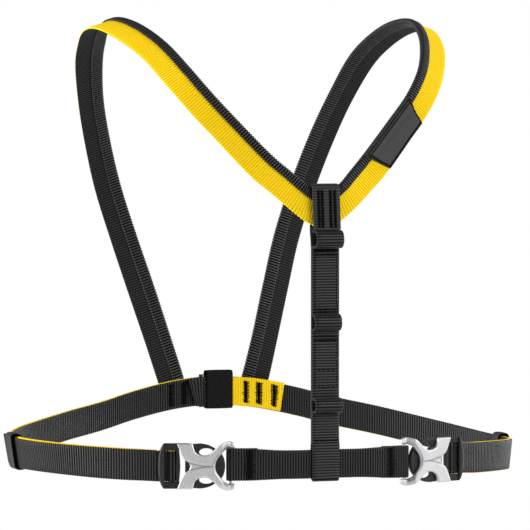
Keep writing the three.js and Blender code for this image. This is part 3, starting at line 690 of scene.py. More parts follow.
def belt_run(name, start, end, lift_start, lift_end):
    """Points on the belt's plan, a step for each degree, with the lift changing evenly."""
    steps = max(1, round(abs(math.degrees(end - start))))
    shares = np.linspace(0, 1, steps + 1)
    return [in_flat(belt_frame(name, start + (end - start) * s), 0, lift_start + (lift_end - lift_start) * s)
            for s in shares]


def turn_at(name, x, front):
    turn = math.asin((x / BELT_REACH[name]) ** (belt_fullness(name, front) / 2))
    return math.pi - turn if front else turn


def buckle_flat(name):
    flat = belt_frame(name, turn_at(name, BUCKLE_X[name], True))
    return flat._replace(origin=in_flat(flat, 0, BUCKLE_SINK))


def flat_arc(flat, centre, radius, start, end):
    """Points of an arc in a flat frame, a step for each 9 degrees."""
    angles = np.radians(np.linspace(start, end, int(abs(end - start) / 9) + 1))
    return [in_flat(flat, centre[0] + radius * math.cos(a), centre[1] + radius * math.sin(a)) for a in angles]


def belt_line(name):
    """The belt's line from its folded end at the back to the tail's end, and where the tail starts."""
    fold_r = (SLIDE_BAR_T + 2 * WEB_HALF) / 2 + GAP
    bar_turn = turn_at(name, SLIDE_BAR_X, False)
    clear = turn_at(name, SLIDE_BAR_X + SLIDE_BAR_W / 2 + GAP, False)
    settled = turn_at(name, SLIDE_BAR_X + FOLD_SETTLE, False)
    fold_end = turn_at(name, sum(FOLD_ENDS[name]) / 2, False)
    if fold_end < settled:
        line = [in_flat(belt_frame(name, fold_end), 0, FOLD_SHORT_CLOSES - 2 * fold_r)]
    else:
        line = belt_run(name, fold_end, settled, -LAYER, -LAYER)
    line.append(in_flat(belt_frame(name, clear), 0, -2 * fold_r))
    line += flat_arc(belt_frame(name, bar_turn), (FOLD_INSET - SLIDE_BAR_W / 2, -fold_r), fold_r, 270, 90)
    buckle = buckle_flat(name)
    meet = turn_at(name, BUCKLE_X[name] + BUCKLE_MEET_X, True)
    line += belt_run(name, bar_turn + math.radians(FOLD_CLEAR), meet, 0, 0)
    round_n = CENTRE_BAR_LOW + CENTRE_BAR_T / 2
    round_r = (CENTRE_BAR_T + 2 * WEB_HALF) / 2 + GAP
    round_u = (CENTRE_BAR_W - CENTRE_BAR_T) / 2
    down = math.radians(TAIL_DESCENT)
    settle_r = (round_n + round_r * math.cos(down) - TAIL_LIFT) / (1 - math.cos(down))
    settle_u = CENTRE_BAR_U - round_u - (round_r + settle_r) * math.sin(down)
    line.append(in_flat(buckle, BUCKLE_MEET_U, 0))
    line += flat_arc(buckle, (CENTRE_BAR_U + round_u, round_n), round_r, -90, 90)
    line += flat_arc(buckle, (CENTRE_BAR_U - round_u, round_n), round_r, 90, 90 + TAIL_DESCENT)
    line += flat_arc(buckle, (settle_u, TAIL_LIFT + settle_r), settle_r, TAIL_DESCENT - 90, -90)[1:]
    turned = len(line)
    line.append(in_flat(buckle, BUCKLE_MEET_U, TAIL_LIFT))
    flare, end, end_lift = TAIL_FLARE
    line += belt_run(name, meet, math.radians(flare), TAIL_LIFT, TAIL_LIFT)
    line += belt_run(name, math.radians(flare - 1), math.radians(end), TAIL_LIFT, end_lift)
    return np.array(line), turned


def upright_strip(line, sign):
    """Upright webbing along a line; its outer face is on the line's right for sign 1, left for -1."""
    length = distance_along(line)
    along = np.arange(0, length[-1], RIB_STEP)
    points = columns_at(along, length, line)
    heading = np.gradient(points, along, axis=0)
    heading[:, 2] = 0
    heading = unit(heading)
    out = sign * np.stack([heading[:, 1], -heading[:, 0], np.zeros(len(along))], axis=1)
    return Strip(along, points, np.tile([0, 0, 1.0], (len(along), 1)), out)


def slanted(strip, start, end, fade=8.0):
    """The strip with its two ends cut askew: the upper corner moved along by start and by end."""
    near = np.clip(1 - strip.along / fade, 0, 1) * start
    far = np.clip(1 - (strip.along[-1] - strip.along) / fade, 0, 1) * end
    heading = unit(np.gradient(strip.line, strip.along, axis=0))
    return strip._replace(across=strip.across + heading * ((near + far) / WEB_W)[:, None])


def flared(name, strip):
    """The belt with its upper edge leaning out at the wearer's side, and upright in front and behind."""
    x, y = strip.line[:, 0], strip.line[:, 1]
    out = unit(np.stack([x / BELT_REACH[name] ** 2, y / BELT_BACK**2, np.zeros(len(x))], axis=1))
    share = BELT_FLARE[name] * smooth_step(np.abs(x) / BELT_REACH[name], *BELT_FLARE_SPAN)
    return strip._replace(across=unit(strip.across + out * share[:, None]))


def hanging(name, strip, tail_from):
    """The belt with its tail hanging a little below it, and its folded end slanting up."""
    first, last = TAIL_DROP[name]
    along, end = strip.along, strip.along[-1]
    drop = first * smooth_step(along, tail_from, tail_from + TAIL_SETTLE)
    drop += (last - first) * np.clip((along - tail_from) / (end - tail_from), 0, 1)
    drop += (TAIL_END_DROP[name] - last) * smooth_step(along, end - TAIL_END, end)
    drop -= TAB_RISE[name] * np.clip(1 - along / TAB_LENGTH, 0, 1)
    strip.line[:, 2] -= drop
    return strip


belt_strips = {}
for name, side in SIDES.items():
    line, turned = belt_line(name)
    tail_from = distance_along(line)[turned]
    strip = hanging(name, upright_strip(line, -side), tail_from)
    top, bottom = FOLD_ENDS[name]
    strip = flared(name, slanted(strip, bottom - top, TAIL_SLANT))
    belt_strips[name] = strip
    section, tail_section = (webbing_section(-WEB_W / 2, WEB_W / 2, 0, 1, wraps=wraps[name])
                             for wraps in (BELT_WRAPS, TAIL_WRAPS))
    fold_black, tail_black = BELT_PLAIN[name]
    kinds = np.where((strip.along > tail_from)[:, None], tail_section[:, 2], section[:, 2])
    kinds[(strip.along < fold_black) | (strip.along > strip.along[-1] - tail_black)] = 1
    belt = sweep("belt_webbing_" + name, strip, section, [yellow_webbing, black_webbing], kinds=kinds, ends=1)
    fix_to_harness(belt, "webbing_black", "belt_" + name)

# Side keepers and back sleeve
# Rings of black elastic: one on each side holds the belt's tail, and a wider one at the back covers the
# slide. They are woven bands sewn into a loop, so their corners are round and their edges soft.
KEEPER_TURN = 91
KEEPER_LENGTH = 13
KEEPER_WALL = 1.6
KEEPER_ROOM = (-1.4, 3.9, 10.6)  # inner and outer side, and half height, of the room inside
SLEEVE_SPAN = (-7, 12)
SLEEVE_WALL = 0.9
SLEEVE_ROOM = (-5.3, 1.1, 12.3)
SLEEVE_RISE = 0.8
SLEEVE_BULGE = 0.15
SLIDE_RISE = 0.4
RING_CORNER = 1.6


def ring_loop(low, high, half, radius):
    """A round-cornered loop in the plane across the belt, as points out of it and up, with directions."""
    corners = [((high - radius, half - radius), 0), ((low + radius, half - radius), 90),
               ((low + radius, radius - half), 180), ((high - radius, radius - half), 270)]
    points, normals = [], []
    for (n, v), start in corners:
        for angle in np.radians(np.linspace(start, start + 90, 7)):
            points.append((n + radius * math.cos(angle), v + radius * math.sin(angle)))
            normals.append((math.cos(angle), math.sin(angle)))
    return np.array(points), np.array(normals)


def elastic_ring(name, flat, room, wall, span, materials, bulge=0.0, lean=0.0):
    """A band round the belt: the loop is the band's own length, and its width lies along the belt. The two
    materials are its outer face, and its edges and inside, which are far darker as painted shade."""
    low, high, half = room
    loop, normal = ring_loop(low, high, half, min(RING_CORNER, (high - low) / 2 - 0.1))
    loop = np.concatenate([loop, loop[:1]])
    normal = np.concatenate([normal, normal[:1]])
    length = distance_along(loop)
    fine = np.linspace(0, length[-1], 181)[:-1]
    at, out = columns_at(fine, length, loop), unit(columns_at(fine, length, normal))
    start, end = span
    half_wall = wall / 2
    near, far = start + half_wall, end - half_wall
    edge = [(half_wall * math.cos(a), half_wall * math.sin(a)) for a in np.radians([-45, 0, 45])]
    section = [(u, wall) for u in np.linspace(near, far, 18)]
    section += [(far + reach, half_wall - up) for reach, up in edge]
    section += [(u, 0) for u in np.linspace(far, near, 6)]
    section += [(near - reach, half_wall + up) for reach, up in edge]
    section = np.array(section)
    middle, span_half = (start + end) / 2, (end - start) / 2
    crown = bulge * (1 - ((section[:, 0] - middle) / span_half) ** 2)
    u = np.broadcast_to(section[None, :, 0], (len(fine), len(section)))
    rise = section[None, :, 1] + crown[None, :]
    n = at[:, None, 0] + out[:, None, 0] * rise
    v = at[:, None, 1] + out[:, None, 1] * rise
    up = unit(np.array([0, 0, 1.0]) + flat.out * lean)
    points = flat.origin + flat.along * u[..., None] + flat.out * n[..., None] + up * v[..., None]
    # the edges and inside take the second material: painted shade
    kinds = np.tile(np.where(section[:, 1] == wall, 0, 1), (len(fine), 1))
    return band_piece(name, points, fine, section[:, 0], kinds, materials)


def make_herringbone_group():
    """Slanting yarns that change direction from column to column, on a strip's thread coordinates."""
    tree, given, put = effect_group("herringbone", [
        ("Thread", "NodeSocketVector", None),
        ("Yarn pitch", "NodeSocketFloat", 1.0),
        ("Column", "NodeSocketFloat", 2.4),
    ], ["Height", "Fibre"])
    split = add_node(tree, "ShaderNodeSeparateXYZ", {0: given["Thread"]}).outputs
    column = calc(tree, "DIVIDE", split[1], given["Column"])
    fold = calc(tree, "PINGPONG", column, 1.0)
    slant = calc(tree, "MULTIPLY", calc(tree, "MULTIPLY", fold, given["Column"]), 1.2)
    phase = calc(tree, "DIVIDE", calc(tree, "ADD", split[0], slant), given["Yarn pitch"])
    yarn = calc(tree, "ABSOLUTE", calc(tree, "SINE", calc(tree, "MULTIPLY", phase, math.pi)))
    fibre = add_node(tree, "ShaderNodeTexNoise", {"Vector": given["Thread"], "Scale": 2.5, "Detail": 3.0})
    tree.links.new(yarn, put["Height"])
    tree.links.new(fibre.outputs[0], put["Fibre"])
    return tree


herringbone_group = make_herringbone_group()


def elastic_material(name, crest, valley, yarn, column, gloss):
    material, tree, shader = blank_material(name)
    weave = add_node(tree, "ShaderNodeGroup", node_tree=herringbone_group)
    thread = add_node(tree, "ShaderNodeAttribute", attribute_name="thread").outputs["Vector"]
    tree.links.new(thread, weave.inputs["Thread"])
    set_shader(weave, Yarn_pitch=yarn, Column=column)
    share = calc(tree, "MULTIPLY", weave.outputs["Height"], calc(tree, "ADD", weave.outputs["Fibre"], 0.4))
    tree.links.new(mix_colours(tree, share, valley, crest), shader.inputs["Base Color"])
    finish_surface(tree, shader, weave.outputs["Fibre"], (0.55, 0.80), weave.outputs["Height"], (0.8, 0.0003))
    tree.links.new(calc(tree, "MULTIPLY", share, gloss), shader.inputs["Specular IOR Level"])
    return material


keeper_elastic = elastic_material("keeper_elastic", dark(0.043), dark(0.012), 0.9, 13.0, 0.6)
sleeve_elastic = elastic_material("sleeve_elastic", dark(0.017), dark(0.0005), 2.0, 3.2, 0.06)
# painted shade: the edges and inside of the keepers and the sleeve, far darker than the outer face
shaded_elastic_edge = elastic_material("shaded_elastic_edge", dark(0.004), dark(0.001), 0.9, 13.0, 0.1)
for name in SIDES:
    flat = belt_frame(name, math.radians(KEEPER_TURN))
    half = KEEPER_LENGTH / 2
    keeper = elastic_ring("keeper_band_" + name, flat, KEEPER_ROOM, KEEPER_WALL, (-half, half),
                          [keeper_elastic, shaded_elastic_edge], lean=BELT_FLARE[name])
    fix_to_harness(keeper, "elastic_black", "side_keeper_" + name)
slide_height = belt_frame("right", turn_at("right", SLIDE_BAR_X, False)).origin[2] + SLIDE_RISE
back_flat = belt_frame("right", 0.0)
back_flat = back_flat._replace(origin=np.array([0, back_flat.origin[1], slide_height]))
sleeve_flat = back_flat._replace(origin=back_flat.origin + (0, 0, SLEEVE_RISE))
sleeve = elastic_ring("sleeve_band", sleeve_flat, SLEEVE_ROOM, SLEEVE_WALL, SLEEVE_SPAN,
                      [sleeve_elastic, shaded_elastic_edge], bulge=SLEEVE_BULGE)
fix_to_harness(sleeve, "elastic_black", "back_sleeve")

# Back slide and buckle bodies
# Moulded black plastic: a plain two-bar slide under the sleeve, and in front a body for each buckle with a
# centre bar and an outer bar for the belt, two windows, and a round nose between the metal arms.
BODY_LOW, BODY_HIGH = 1.2, 4.6
OUTER_BAR_LOW, OUTER_BAR_HIGH = 3.2, 6.4
BODY_TOP = 14.5
BODY_RAIL_IN = 10.15
SLIDE_RAIL_IN, SLIDE_RAIL_OUT = 10.5, 11.3
EDGE_RINGS = (0.15, 0.5, 1.0)  # rows of points inside a round edge, as shares of its rounding


def outline_points(runs, step=0.35):
    """Points along runs of corners: a run of two is a line, a longer one a smooth curve."""
    points = []
    for run in runs:
        run = np.array(run, float)
        if len(run) > 2:
            rows = np.linspace(0, len(run) - 1, max(8, int(distance_along(run)[-1] / step)))
            run = smooth_through(run, rows)
        else:
            count = max(2, int(np.linalg.norm(run[1] - run[0]) / step))
            run = np.linspace(run[0], run[1], count)
        points += [p for p in run if not points or np.linalg.norm(p - points[-1]) > 0.05]
    return np.array(points)


def mirrored_outline(runs):
    upper = outline_points(runs)
    lower = upper[upper[:, 1] > 0.02][::-1] * (1, -1)
    return np.concatenate([upper, lower])


def box_outline(u0, v0, u1, v1):
    corners = [(u0, v0), (u1, v0), (u1, v1), (u0, v1), (u0, v0)]
    return outline_points(list(zip(corners[:-1], corners[1:])))[:-1]


def edge_distance(points, loops):
    """Distance of each point to the nearest stretch of the closed loops."""
    best = np.full(len(points), 1e9)
    for loop in loops:
        for a, b in zip(loop, np.roll(loop, -1, axis=0)):
            reach = b - a
            share = np.clip((points - a) @ reach / max(reach @ reach, 1e-9), 0, 1)
            best = np.minimum(best, np.linalg.norm(points - a - share[:, None] * reach, axis=1))
    return best


def inside_loops(points, loops):
    """Even-odd test of points against the closed loops."""
    odd = np.zeros(len(points), bool)
    for loop in loops:
        for a, b in zip(loop, np.roll(loop, -1, axis=0)):
            spans = (a[1] > points[:, 1]) != (b[1] > points[:, 1])
            with np.errstate(divide="ignore", invalid="ignore"):
                cross = a[0] + (points[:, 1] - a[1]) * (b[0] - a[0]) / (b[1] - a[1])
            odd ^= spans & (points[:, 0] < cross)
    return odd


def cast_plate(loops, low, high, rounding, spacing=0.55, relief=None, sink=None):
    """A plate with round edges: loops outline it and its holes in u and v, low and high are its two faces.
    relief lowers the upper face at a point, and sink bends the whole plate down along u."""
    near = np.concatenate(loops)
    lo, hi = near.min(axis=0), near.max(axis=0)
    grid = np.stack(np.meshgrid(np.arange(lo[0], hi[0], spacing), np.arange(lo[1], hi[1], spacing)), axis=-1)
    grid[1::2, :, 0] += spacing / 2
    grid = grid.reshape(-1, 2)
    depth = edge_distance(grid, loops)
    keep = inside_loops(grid, loops) & (depth > spacing * 0.5)
    rings = []
    for loop in loops:
        ahead = unit(np.roll(loop, -1, axis=0) - np.roll(loop, 1, axis=0))
        side = np.stack([-ahead[:, 1], ahead[:, 0]], axis=1)
        for share in EDGE_RINGS:
            for way in (1, -1):
                ring = loop + side * way * rounding * share
                fits = np.abs(edge_distance(ring, loops) - rounding * share) < 0.03
                rings.append(ring[fits & inside_loops(ring, loops)])
    fill = grid[keep]
    ring_points = np.concatenate(rings)
    clear = [np.min(np.linalg.norm(ring_points - p, axis=1)) > spacing * 0.45 for p in fill]
    flat = np.concatenate([near, ring_points, fill[np.array(clear, bool)]])
    edges = []
    start = 0
    for loop in loops:
        edges += [(start + k, start + (k + 1) % len(loop)) for k in range(len(loop))]
        start += len(loop)
    made = delaunay_2d_cdt([Vector(p) for p in flat.tolist()], edges, [], 0, 1e-6)
    flat = np.array([p[:] for p in made[0]])
    triangles = np.array([t[:] for t in made[2]])
    triangles = triangles[inside_loops(flat[triangles].mean(axis=1), loops)]
    depth = np.minimum(edge_distance(flat, loops), rounding)
    fall = rounding - np.sqrt(np.maximum(rounding**2 - (rounding - depth) ** 2, 0))
    top = high - fall - (relief(flat) if relief else 0)
    bottom = low + fall
    if sink:
        top, bottom = top - sink(flat[:, 0]), bottom - sink(flat[:, 0])
    count = len(flat)
    points = np.concatenate([np.column_stack([flat, top]), np.column_stack([flat, bottom])])
    faces = triangles.tolist() + (triangles[:, ::-1] + count).tolist()
    seen = {}
    for a, b, c in triangles.tolist():
        for pair in ((a, b), (b, c), (c, a)):
            seen[pair] = True
    faces += [[b, a, a + count, b + count] for a, b in seen if (b, a) not in seen]
    return points, faces


def fused(name, flat, plates, material, sharp=50, shade=None):
    """One body from plates given in a flat frame: built apart, joined by union, and set in place. shade gives
    the painted shade by place in the flat frame, kept on the body for its material."""
    up = np.cross(flat.out, flat.along)
    parts = []
    for number, (points, faces) in enumerate(plates):
        place = flat.origin + points[:, :1] * flat.along + points[:, 1:2] * up + points[:, 2:] * flat.out
        part_name = name if number == 0 else f"{name}_part{number}"
        parts.append(new_piece(part_name, place, faces, np.zeros(len(faces)), [material]))
    body = parts[0]
    for part in parts[1:]:
        union = body.modifiers.new("union", "BOOLEAN")
        union.operation = "UNION"
        union.solver = "EXACT"
        union.object = part
    if parts[1:]:
        keep_modified(body)
        for part in parts[1:]:
            bpy.data.objects.remove(part)
    # painted shade for the metal's colour, kept on the body as an attribute
    if shade:
        place = np.array([vertex.co[:] for vertex in body.data.vertices]) * 1000
        place += SHOULDER_MOUNT - flat.origin
        painted_shade = np.zeros((len(place), 3))
        painted_shade[:, 0] = shade(np.stack([place @ flat.along, place @ up], axis=1))
        store_vectors(body.data, "painted_shade", painted_shade)
    body.data.shade_smooth()
    body.data.set_sharp_from_angle(angle=math.radians(sharp))
    return body


# Moulded nylon with a fine spark grain and slightly uneven gloss.
black_plastic = grained_material("black_plastic", (dark(0.009), dark(0.012)), (120.0, 2.0), (1400.0, 2.0),
                                 (0.42, 0.57), (0.15, 0.00005), Specular_IOR_Level=0.4)


def ellipse(u, v, along, up, count=40):
    angles = np.linspace(0, 2 * math.pi, count, endpoint=False)
    return np.stack([u + along * np.cos(angles), v + up * np.sin(angles)], axis=1)


def buckle_body_plates():
    plate = mirrored_outline([
        [(-10, 4), (-12.4, 8.3)],
        [(-12.4, 8.3), (-12.4, BODY_RAIL_IN)],
        [(-12.4, BODY_RAIL_IN), (-24.8, BODY_RAIL_IN)],
        [(-24.8, BODY_RAIL_IN), (-24.3, 13.1), (-23.7, 14.3), (-22.8, BODY_TOP)],
        [(-22.8, BODY_TOP), (-8.3, BODY_TOP)],
        [(-8.3, BODY_TOP), (-5.2, 14.1), (0.3, 14.3), (5.4, 13.2), (9.4, 11), (12.4, 8.8), (14.2, 6.3),
         (15.3, 2.9), (15.6, 0)],
    ])
    outer_bar = mirrored_outline([
        [(-23, 0), (-23, 14.4)],
        [(-23, 14.4), (-23.7, 14.3), (-25.7, 11), (-26.8, 6.2), (-27.1, 0)],
    ])
    bridge = mirrored_outline([
        [(-15.7, 0), (-15.7, 12)],
        [(-15.7, 12), (-14.2, 12)],
        [(-14.2, 12), (-13.6, 8), (-13.2, 4), (-13, 0)],
    ])
    half = CENTRE_BAR_W / 2
    centre = box_outline(CENTRE_BAR_U - half, -12, CENTRE_BAR_U + half, 12)
    windows = [ellipse(3.5, v, 4.5, 2.5) for v in (8.9, -8.9)]
    return [
        cast_plate([plate, *windows], BODY_LOW, BODY_HIGH, 0.7),
        cast_plate([outer_bar], OUTER_BAR_LOW, OUTER_BAR_HIGH, 1.5),
        cast_plate([centre], CENTRE_BAR_LOW, CENTRE_BAR_LOW + CENTRE_BAR_T, 0.6),
        cast_plate([bridge], BODY_LOW, BODY_HIGH - 0.4, 0.8),
    ]


for name in SIDES:
    body = fused("buckle_body_mould_" + name, buckle_flat(name), buckle_body_plates(), black_plastic)
    fix_to_harness(body, "buckle_plastic", "buckle_body_" + name)
slide_edge = SLIDE_BAR_X + SLIDE_BAR_W / 2
slide_inner = SLIDE_BAR_X - SLIDE_BAR_W / 2
slide_loops = [box_outline(-slide_edge, -SLIDE_RAIL_OUT, slide_edge, SLIDE_RAIL_OUT),
               box_outline(-slide_inner, -SLIDE_RAIL_IN, slide_inner, SLIDE_RAIL_IN)]
slide_middle = -WEB_HALF - 2 * GAP - SLIDE_BAR_T / 2
slide_plate = cast_plate(slide_loops, slide_middle - SLIDE_BAR_T / 2, slide_middle + SLIDE_BAR_T / 2, 0.4)
slide = fused("slide_mould", back_flat, [slide_plate], black_plastic)
fix_to_harness(slide, "buckle_plastic", "back_slide")

# Buckle crosses
# Cast aluminium with a satin finish: two broad claws on the body's rails and a fork whose arms drop to the
# chest strap's bar. A shallow wedge is sunk between the claws, and a ledge follows the inside of the fork.
CROSS_LOW, CROSS_HIGH = 4.9, 8.1
CROSS_DROP, CROSS_DROP_FROM, CROSS_DROP_TO = 4.5, 13.5, 19
FRAME_BAR_U, FRAME_BAR_N, FRAME_BAR_R, FRAME_BAR_END = 19.2, 2.0, 1.0, 13
CROSS_WEDGE = (0.15, 1.2)  # depth, and width of its sloping side
CROSS_WEDGE_LINE = [(-9, 3.9), (-4, 2.4), (1.6, 0.6), (8, -0.6)]  # half its width at points along the waist
CROSS_LEDGE = (0.5, 0.8, 1.4)  # depth, and distances from the fork's inside where its slope starts and ends
# The upper one of the two creases at the waist, half the width of the painted shade along it, and the width
# and strength of the painted shade at the ledge.
CROSS_CREASE = [(-8, 2.6), (-4, 1.5), (0, 0.6), (3.5, 0.15), (7.5, 0)]
CREASE_HALF = 0.45
LEDGE_HALF, LEDGE_SHADE = 0.75, 0.6
FORK_INSIDE = [(17.4, 11.4), (15, 9.9), (13, 7.5), (11, 5), (9.8, 2.6), (9.4, 0)]


def line_distance(flat, knots):
    """Distance of points, or of their mirror images, to a curve in the cross's upper half."""
    line = smooth_through(knots, np.linspace(0, len(knots) - 1, 40))
    folded = np.column_stack([flat[:, 0], np.abs(flat[:, 1])])
    return np.min(np.linalg.norm(folded[:, None] - line[None], axis=2), axis=1)


def cross_relief(flat):
    """How much lower the cross's upper face is at each point: the sunk wedge and the fork's ledge."""
    u, v = flat[:, 0], np.abs(flat[:, 1])
    depth, slope = CROSS_WEDGE
    inside = np.interp(u, *np.transpose(CROSS_WEDGE_LINE)) - v
    lower = depth * smooth_step(inside, -slope / 2, slope / 2)
    depth, start, end = CROSS_LEDGE
    return lower + depth * (1 - smooth_step(line_distance(flat, FORK_INSIDE), start, end))


def cross_shade(flat):
    """Painted shade: 1 in the creases and at the foot of the ledge, 0 on the open metal."""
    crease = np.exp(-((line_distance(flat, CROSS_CREASE) / CREASE_HALF) ** 2))
    _, start, end = CROSS_LEDGE
    ledge = np.exp(-(((line_distance(flat, FORK_INSIDE) - (start + end) / 2) / LEDGE_HALF) ** 2))
    return np.maximum(crease, LEDGE_SHADE * ledge)


def cross_plates():
    outline = mirrored_outline([
        [(-6.6, 0), (-7.7, 2.6), (-10, 3.9), (-12, 6.9), (-13.7, 11), (-14.9, 14.1)],
        [(-14.9, 14.1), (-14.4, BODY_TOP)],
        [(-14.4, BODY_TOP), (-5.4, BODY_TOP)],
        [(-5.4, BODY_TOP), (-4.7, 13.2), (-4.1, 11.2), (-3.3, 9.3), (-0.3, 7.5), (3.3, 7.1), (5.4, 7.8),
         (8, 9.9), (9.7, 11.5), (12, 13.5), (15.3, 15.1), (18.6, 15.6), (21.3, 14.2), (21.9, 11.4)],
        [(21.9, 11.4), (17.4, 11.4)],
        FORK_INSIDE,
    ])
    bar = box_outline(FRAME_BAR_U - FRAME_BAR_R, -FRAME_BAR_END, FRAME_BAR_U + FRAME_BAR_R, FRAME_BAR_END)
    return [
        cast_plate([outline], CROSS_LOW, CROSS_HIGH, 0.9, 0.45, cross_relief,
                   lambda u: CROSS_DROP * smooth_step(u, CROSS_DROP_FROM, CROSS_DROP_TO)),
        cast_plate([bar], FRAME_BAR_N - FRAME_BAR_R, FRAME_BAR_N + FRAME_BAR_R, 0.8),
    ]


def aluminium_material():
    """Satin cast aluminium: fine tumbled grain in its gloss and its surface, with painted shade in its
    creases.
    """
    greys = (0.56, 0.56, 0.57), (0.68, 0.68, 0.69)
    material = grained_material("satin_aluminium", greys, (150.0, 3.0), (1800.0, 3.0), (0.46, 0.62),
                                (0.2, 0.00004), Metallic=1.0)
    tree = material.node_tree
    colour = tree.nodes["Principled BSDF"].inputs["Base Color"]
    metal = colour.links[0].from_socket
    creased = add_node(tree, "ShaderNodeAttribute", attribute_name="painted_shade").outputs["Vector"]
    creased = add_node(tree, "ShaderNodeSeparateXYZ", {0: creased}).outputs[0]
    # painted shade: the metal's colour turns dark grey in the creases and at the foot of the ledge
    painted_shade = add_node(tree, "ShaderNodeMix", {0: creased, 6: metal, 7: (0.24, 0.24, 0.25, 1)}, data_type="RGBA")
    tree.links.new(painted_shade.outputs[2], colour)
    return material


satin_aluminium = aluminium_material()
for name in SIDES:
    cross = fused("buckle_cross_" + name, buckle_flat(name), cross_plates(), satin_aluminium, 75, cross_shade)
    fix_to_harness(cross, "buckle_aluminium", "buckle_frame_" + name)

# Chest strap
# A short length of 19 mm black webbing between the buckles. Each end goes round a buckle's bar, folds back
# behind itself and is held by a bar tack.
CHEST_W = 18.4
CHEST_END_W = 20.6  # flat at the folds, a little cupped between them
CHEST_LEFT_RISE = 0.85
CHEST_FOLD_R = 2.2
CHEST_FOLD_BACK = 17
CHEST_SETTLE = 9
CHEST_LIFT = 3.9
CHEST_MEET_X = 35
CHEST_CUP = (32, 60)  # distances from its ends where it starts to be cupped and is so in full
CHEST_LEVEL = (25, 75)  # distances along it where the left end's rise starts to fade and is gone


def chest_end(name):
    buckle = buckle_flat(name)
    bend = flat_arc(buckle, (FRAME_BAR_U, FRAME_BAR_N), CHEST_FOLD_R, 270, 90)
    top = bend[-1]
    meet = in_flat(belt_frame(name, turn_at(name, CHEST_MEET_X, True)), 0, CHEST_LIFT)

    def behind(reach):
        return top + (meet - top) * reach / np.linalg.norm(meet - top) - buckle.out * LAYER

    settled = behind(CHEST_SETTLE)
    return [behind(CHEST_FOLD_BACK), settled, (settled + bend[0]) / 2, *bend]


def chest_line():
    line = chest_end("left")
    line += belt_run("left", turn_at("left", CHEST_MEET_X, True), math.pi, CHEST_LIFT, CHEST_LIFT)
    line += belt_run("right", math.pi, turn_at("right", CHEST_MEET_X, True), CHEST_LIFT, CHEST_LIFT)[1:]
    return np.array(line + chest_end("right")[::-1])


chest_strip = upright_strip(chest_line(), 1)
chest_ends = np.minimum(chest_strip.along, chest_strip.along[-1] - chest_strip.along)
chest_spread = CHEST_END_W / CHEST_W + (1 - CHEST_END_W / CHEST_W) * smooth_step(chest_ends, *CHEST_CUP)
chest_strip = chest_strip._replace(across=chest_strip.across * chest_spread[:, None])
chest_strip.line[:, 2] += CHEST_LEFT_RISE * (1 - smooth_step(chest_strip.along, *CHEST_LEVEL))
chest_section = webbing_section(-CHEST_W / 2, CHEST_W / 2)
chest = sweep("chest_strap_webbing", chest_strip, chest_section, [black_webbing])
fix_to_harness(chest, "webbing_black", "chest_strap")

# Seams
# Black bonded thread, all laid by machine: running stitches along the front strap and the label, and dense
# zigzag bar tacks where layers are joined. Each stitch is a short arch whose ends go into the webbing.
THREAD_D = 0.6


def running_stitches(start, end, pitch=2.6, share=0.72):
    """Stitches in a straight row, as rows of along, across at the start and at the end."""
    start, end = np.array(start, float), np.array(end, float)
    length = np.linalg.norm(end - start)
    count = max(1, round(length / pitch))
    shares = (np.arange(count) + 0.5) / count
    reach = (end - start) / count * share / 2
    middle = start + shares[:, None] * (end - start)
    return np.hstack([middle - reach, middle + reach])


def zigzag_stitches(start, end, width, pitch=0.55, seed=3):
    """A bar tack: stitches that swing from side to side along a line, not quite even."""
    start, end = np.array(start, float), np.array(end, float)
    ahead = unit(end - start)
    side = np.array([-ahead[1], ahead[0]])
    count = int(np.linalg.norm(end - start) / pitch)
    uneven = np.random.default_rng(seed).normal(0, 0.12, count + 1)
    swing = np.where(np.arange(count + 1) % 2 == 0, 0.5, -0.5) * (1 + uneven) * width
    points = start + np.linspace(0, 1, count + 1)[:, None] * (end - start) + swing[:, None] * side
    return np.hstack([points[:-1], points[1:]])


def on_strip(strip, rows, lift):
    """Stitches on a strip's face as their two ends in space, and the face's direction."""
    lift = np.full(len(rows), float(lift))
    a = strip_place(strip, rows[:, 0], rows[:, 1], lift)
    b = strip_place(strip, rows[:, 2], rows[:, 3], lift)
    out = columns_at((rows[:, 0] + rows[:, 2]) / 2, strip.along, strip.out) * np.sign(lift)[:, None]
    return a, b, out


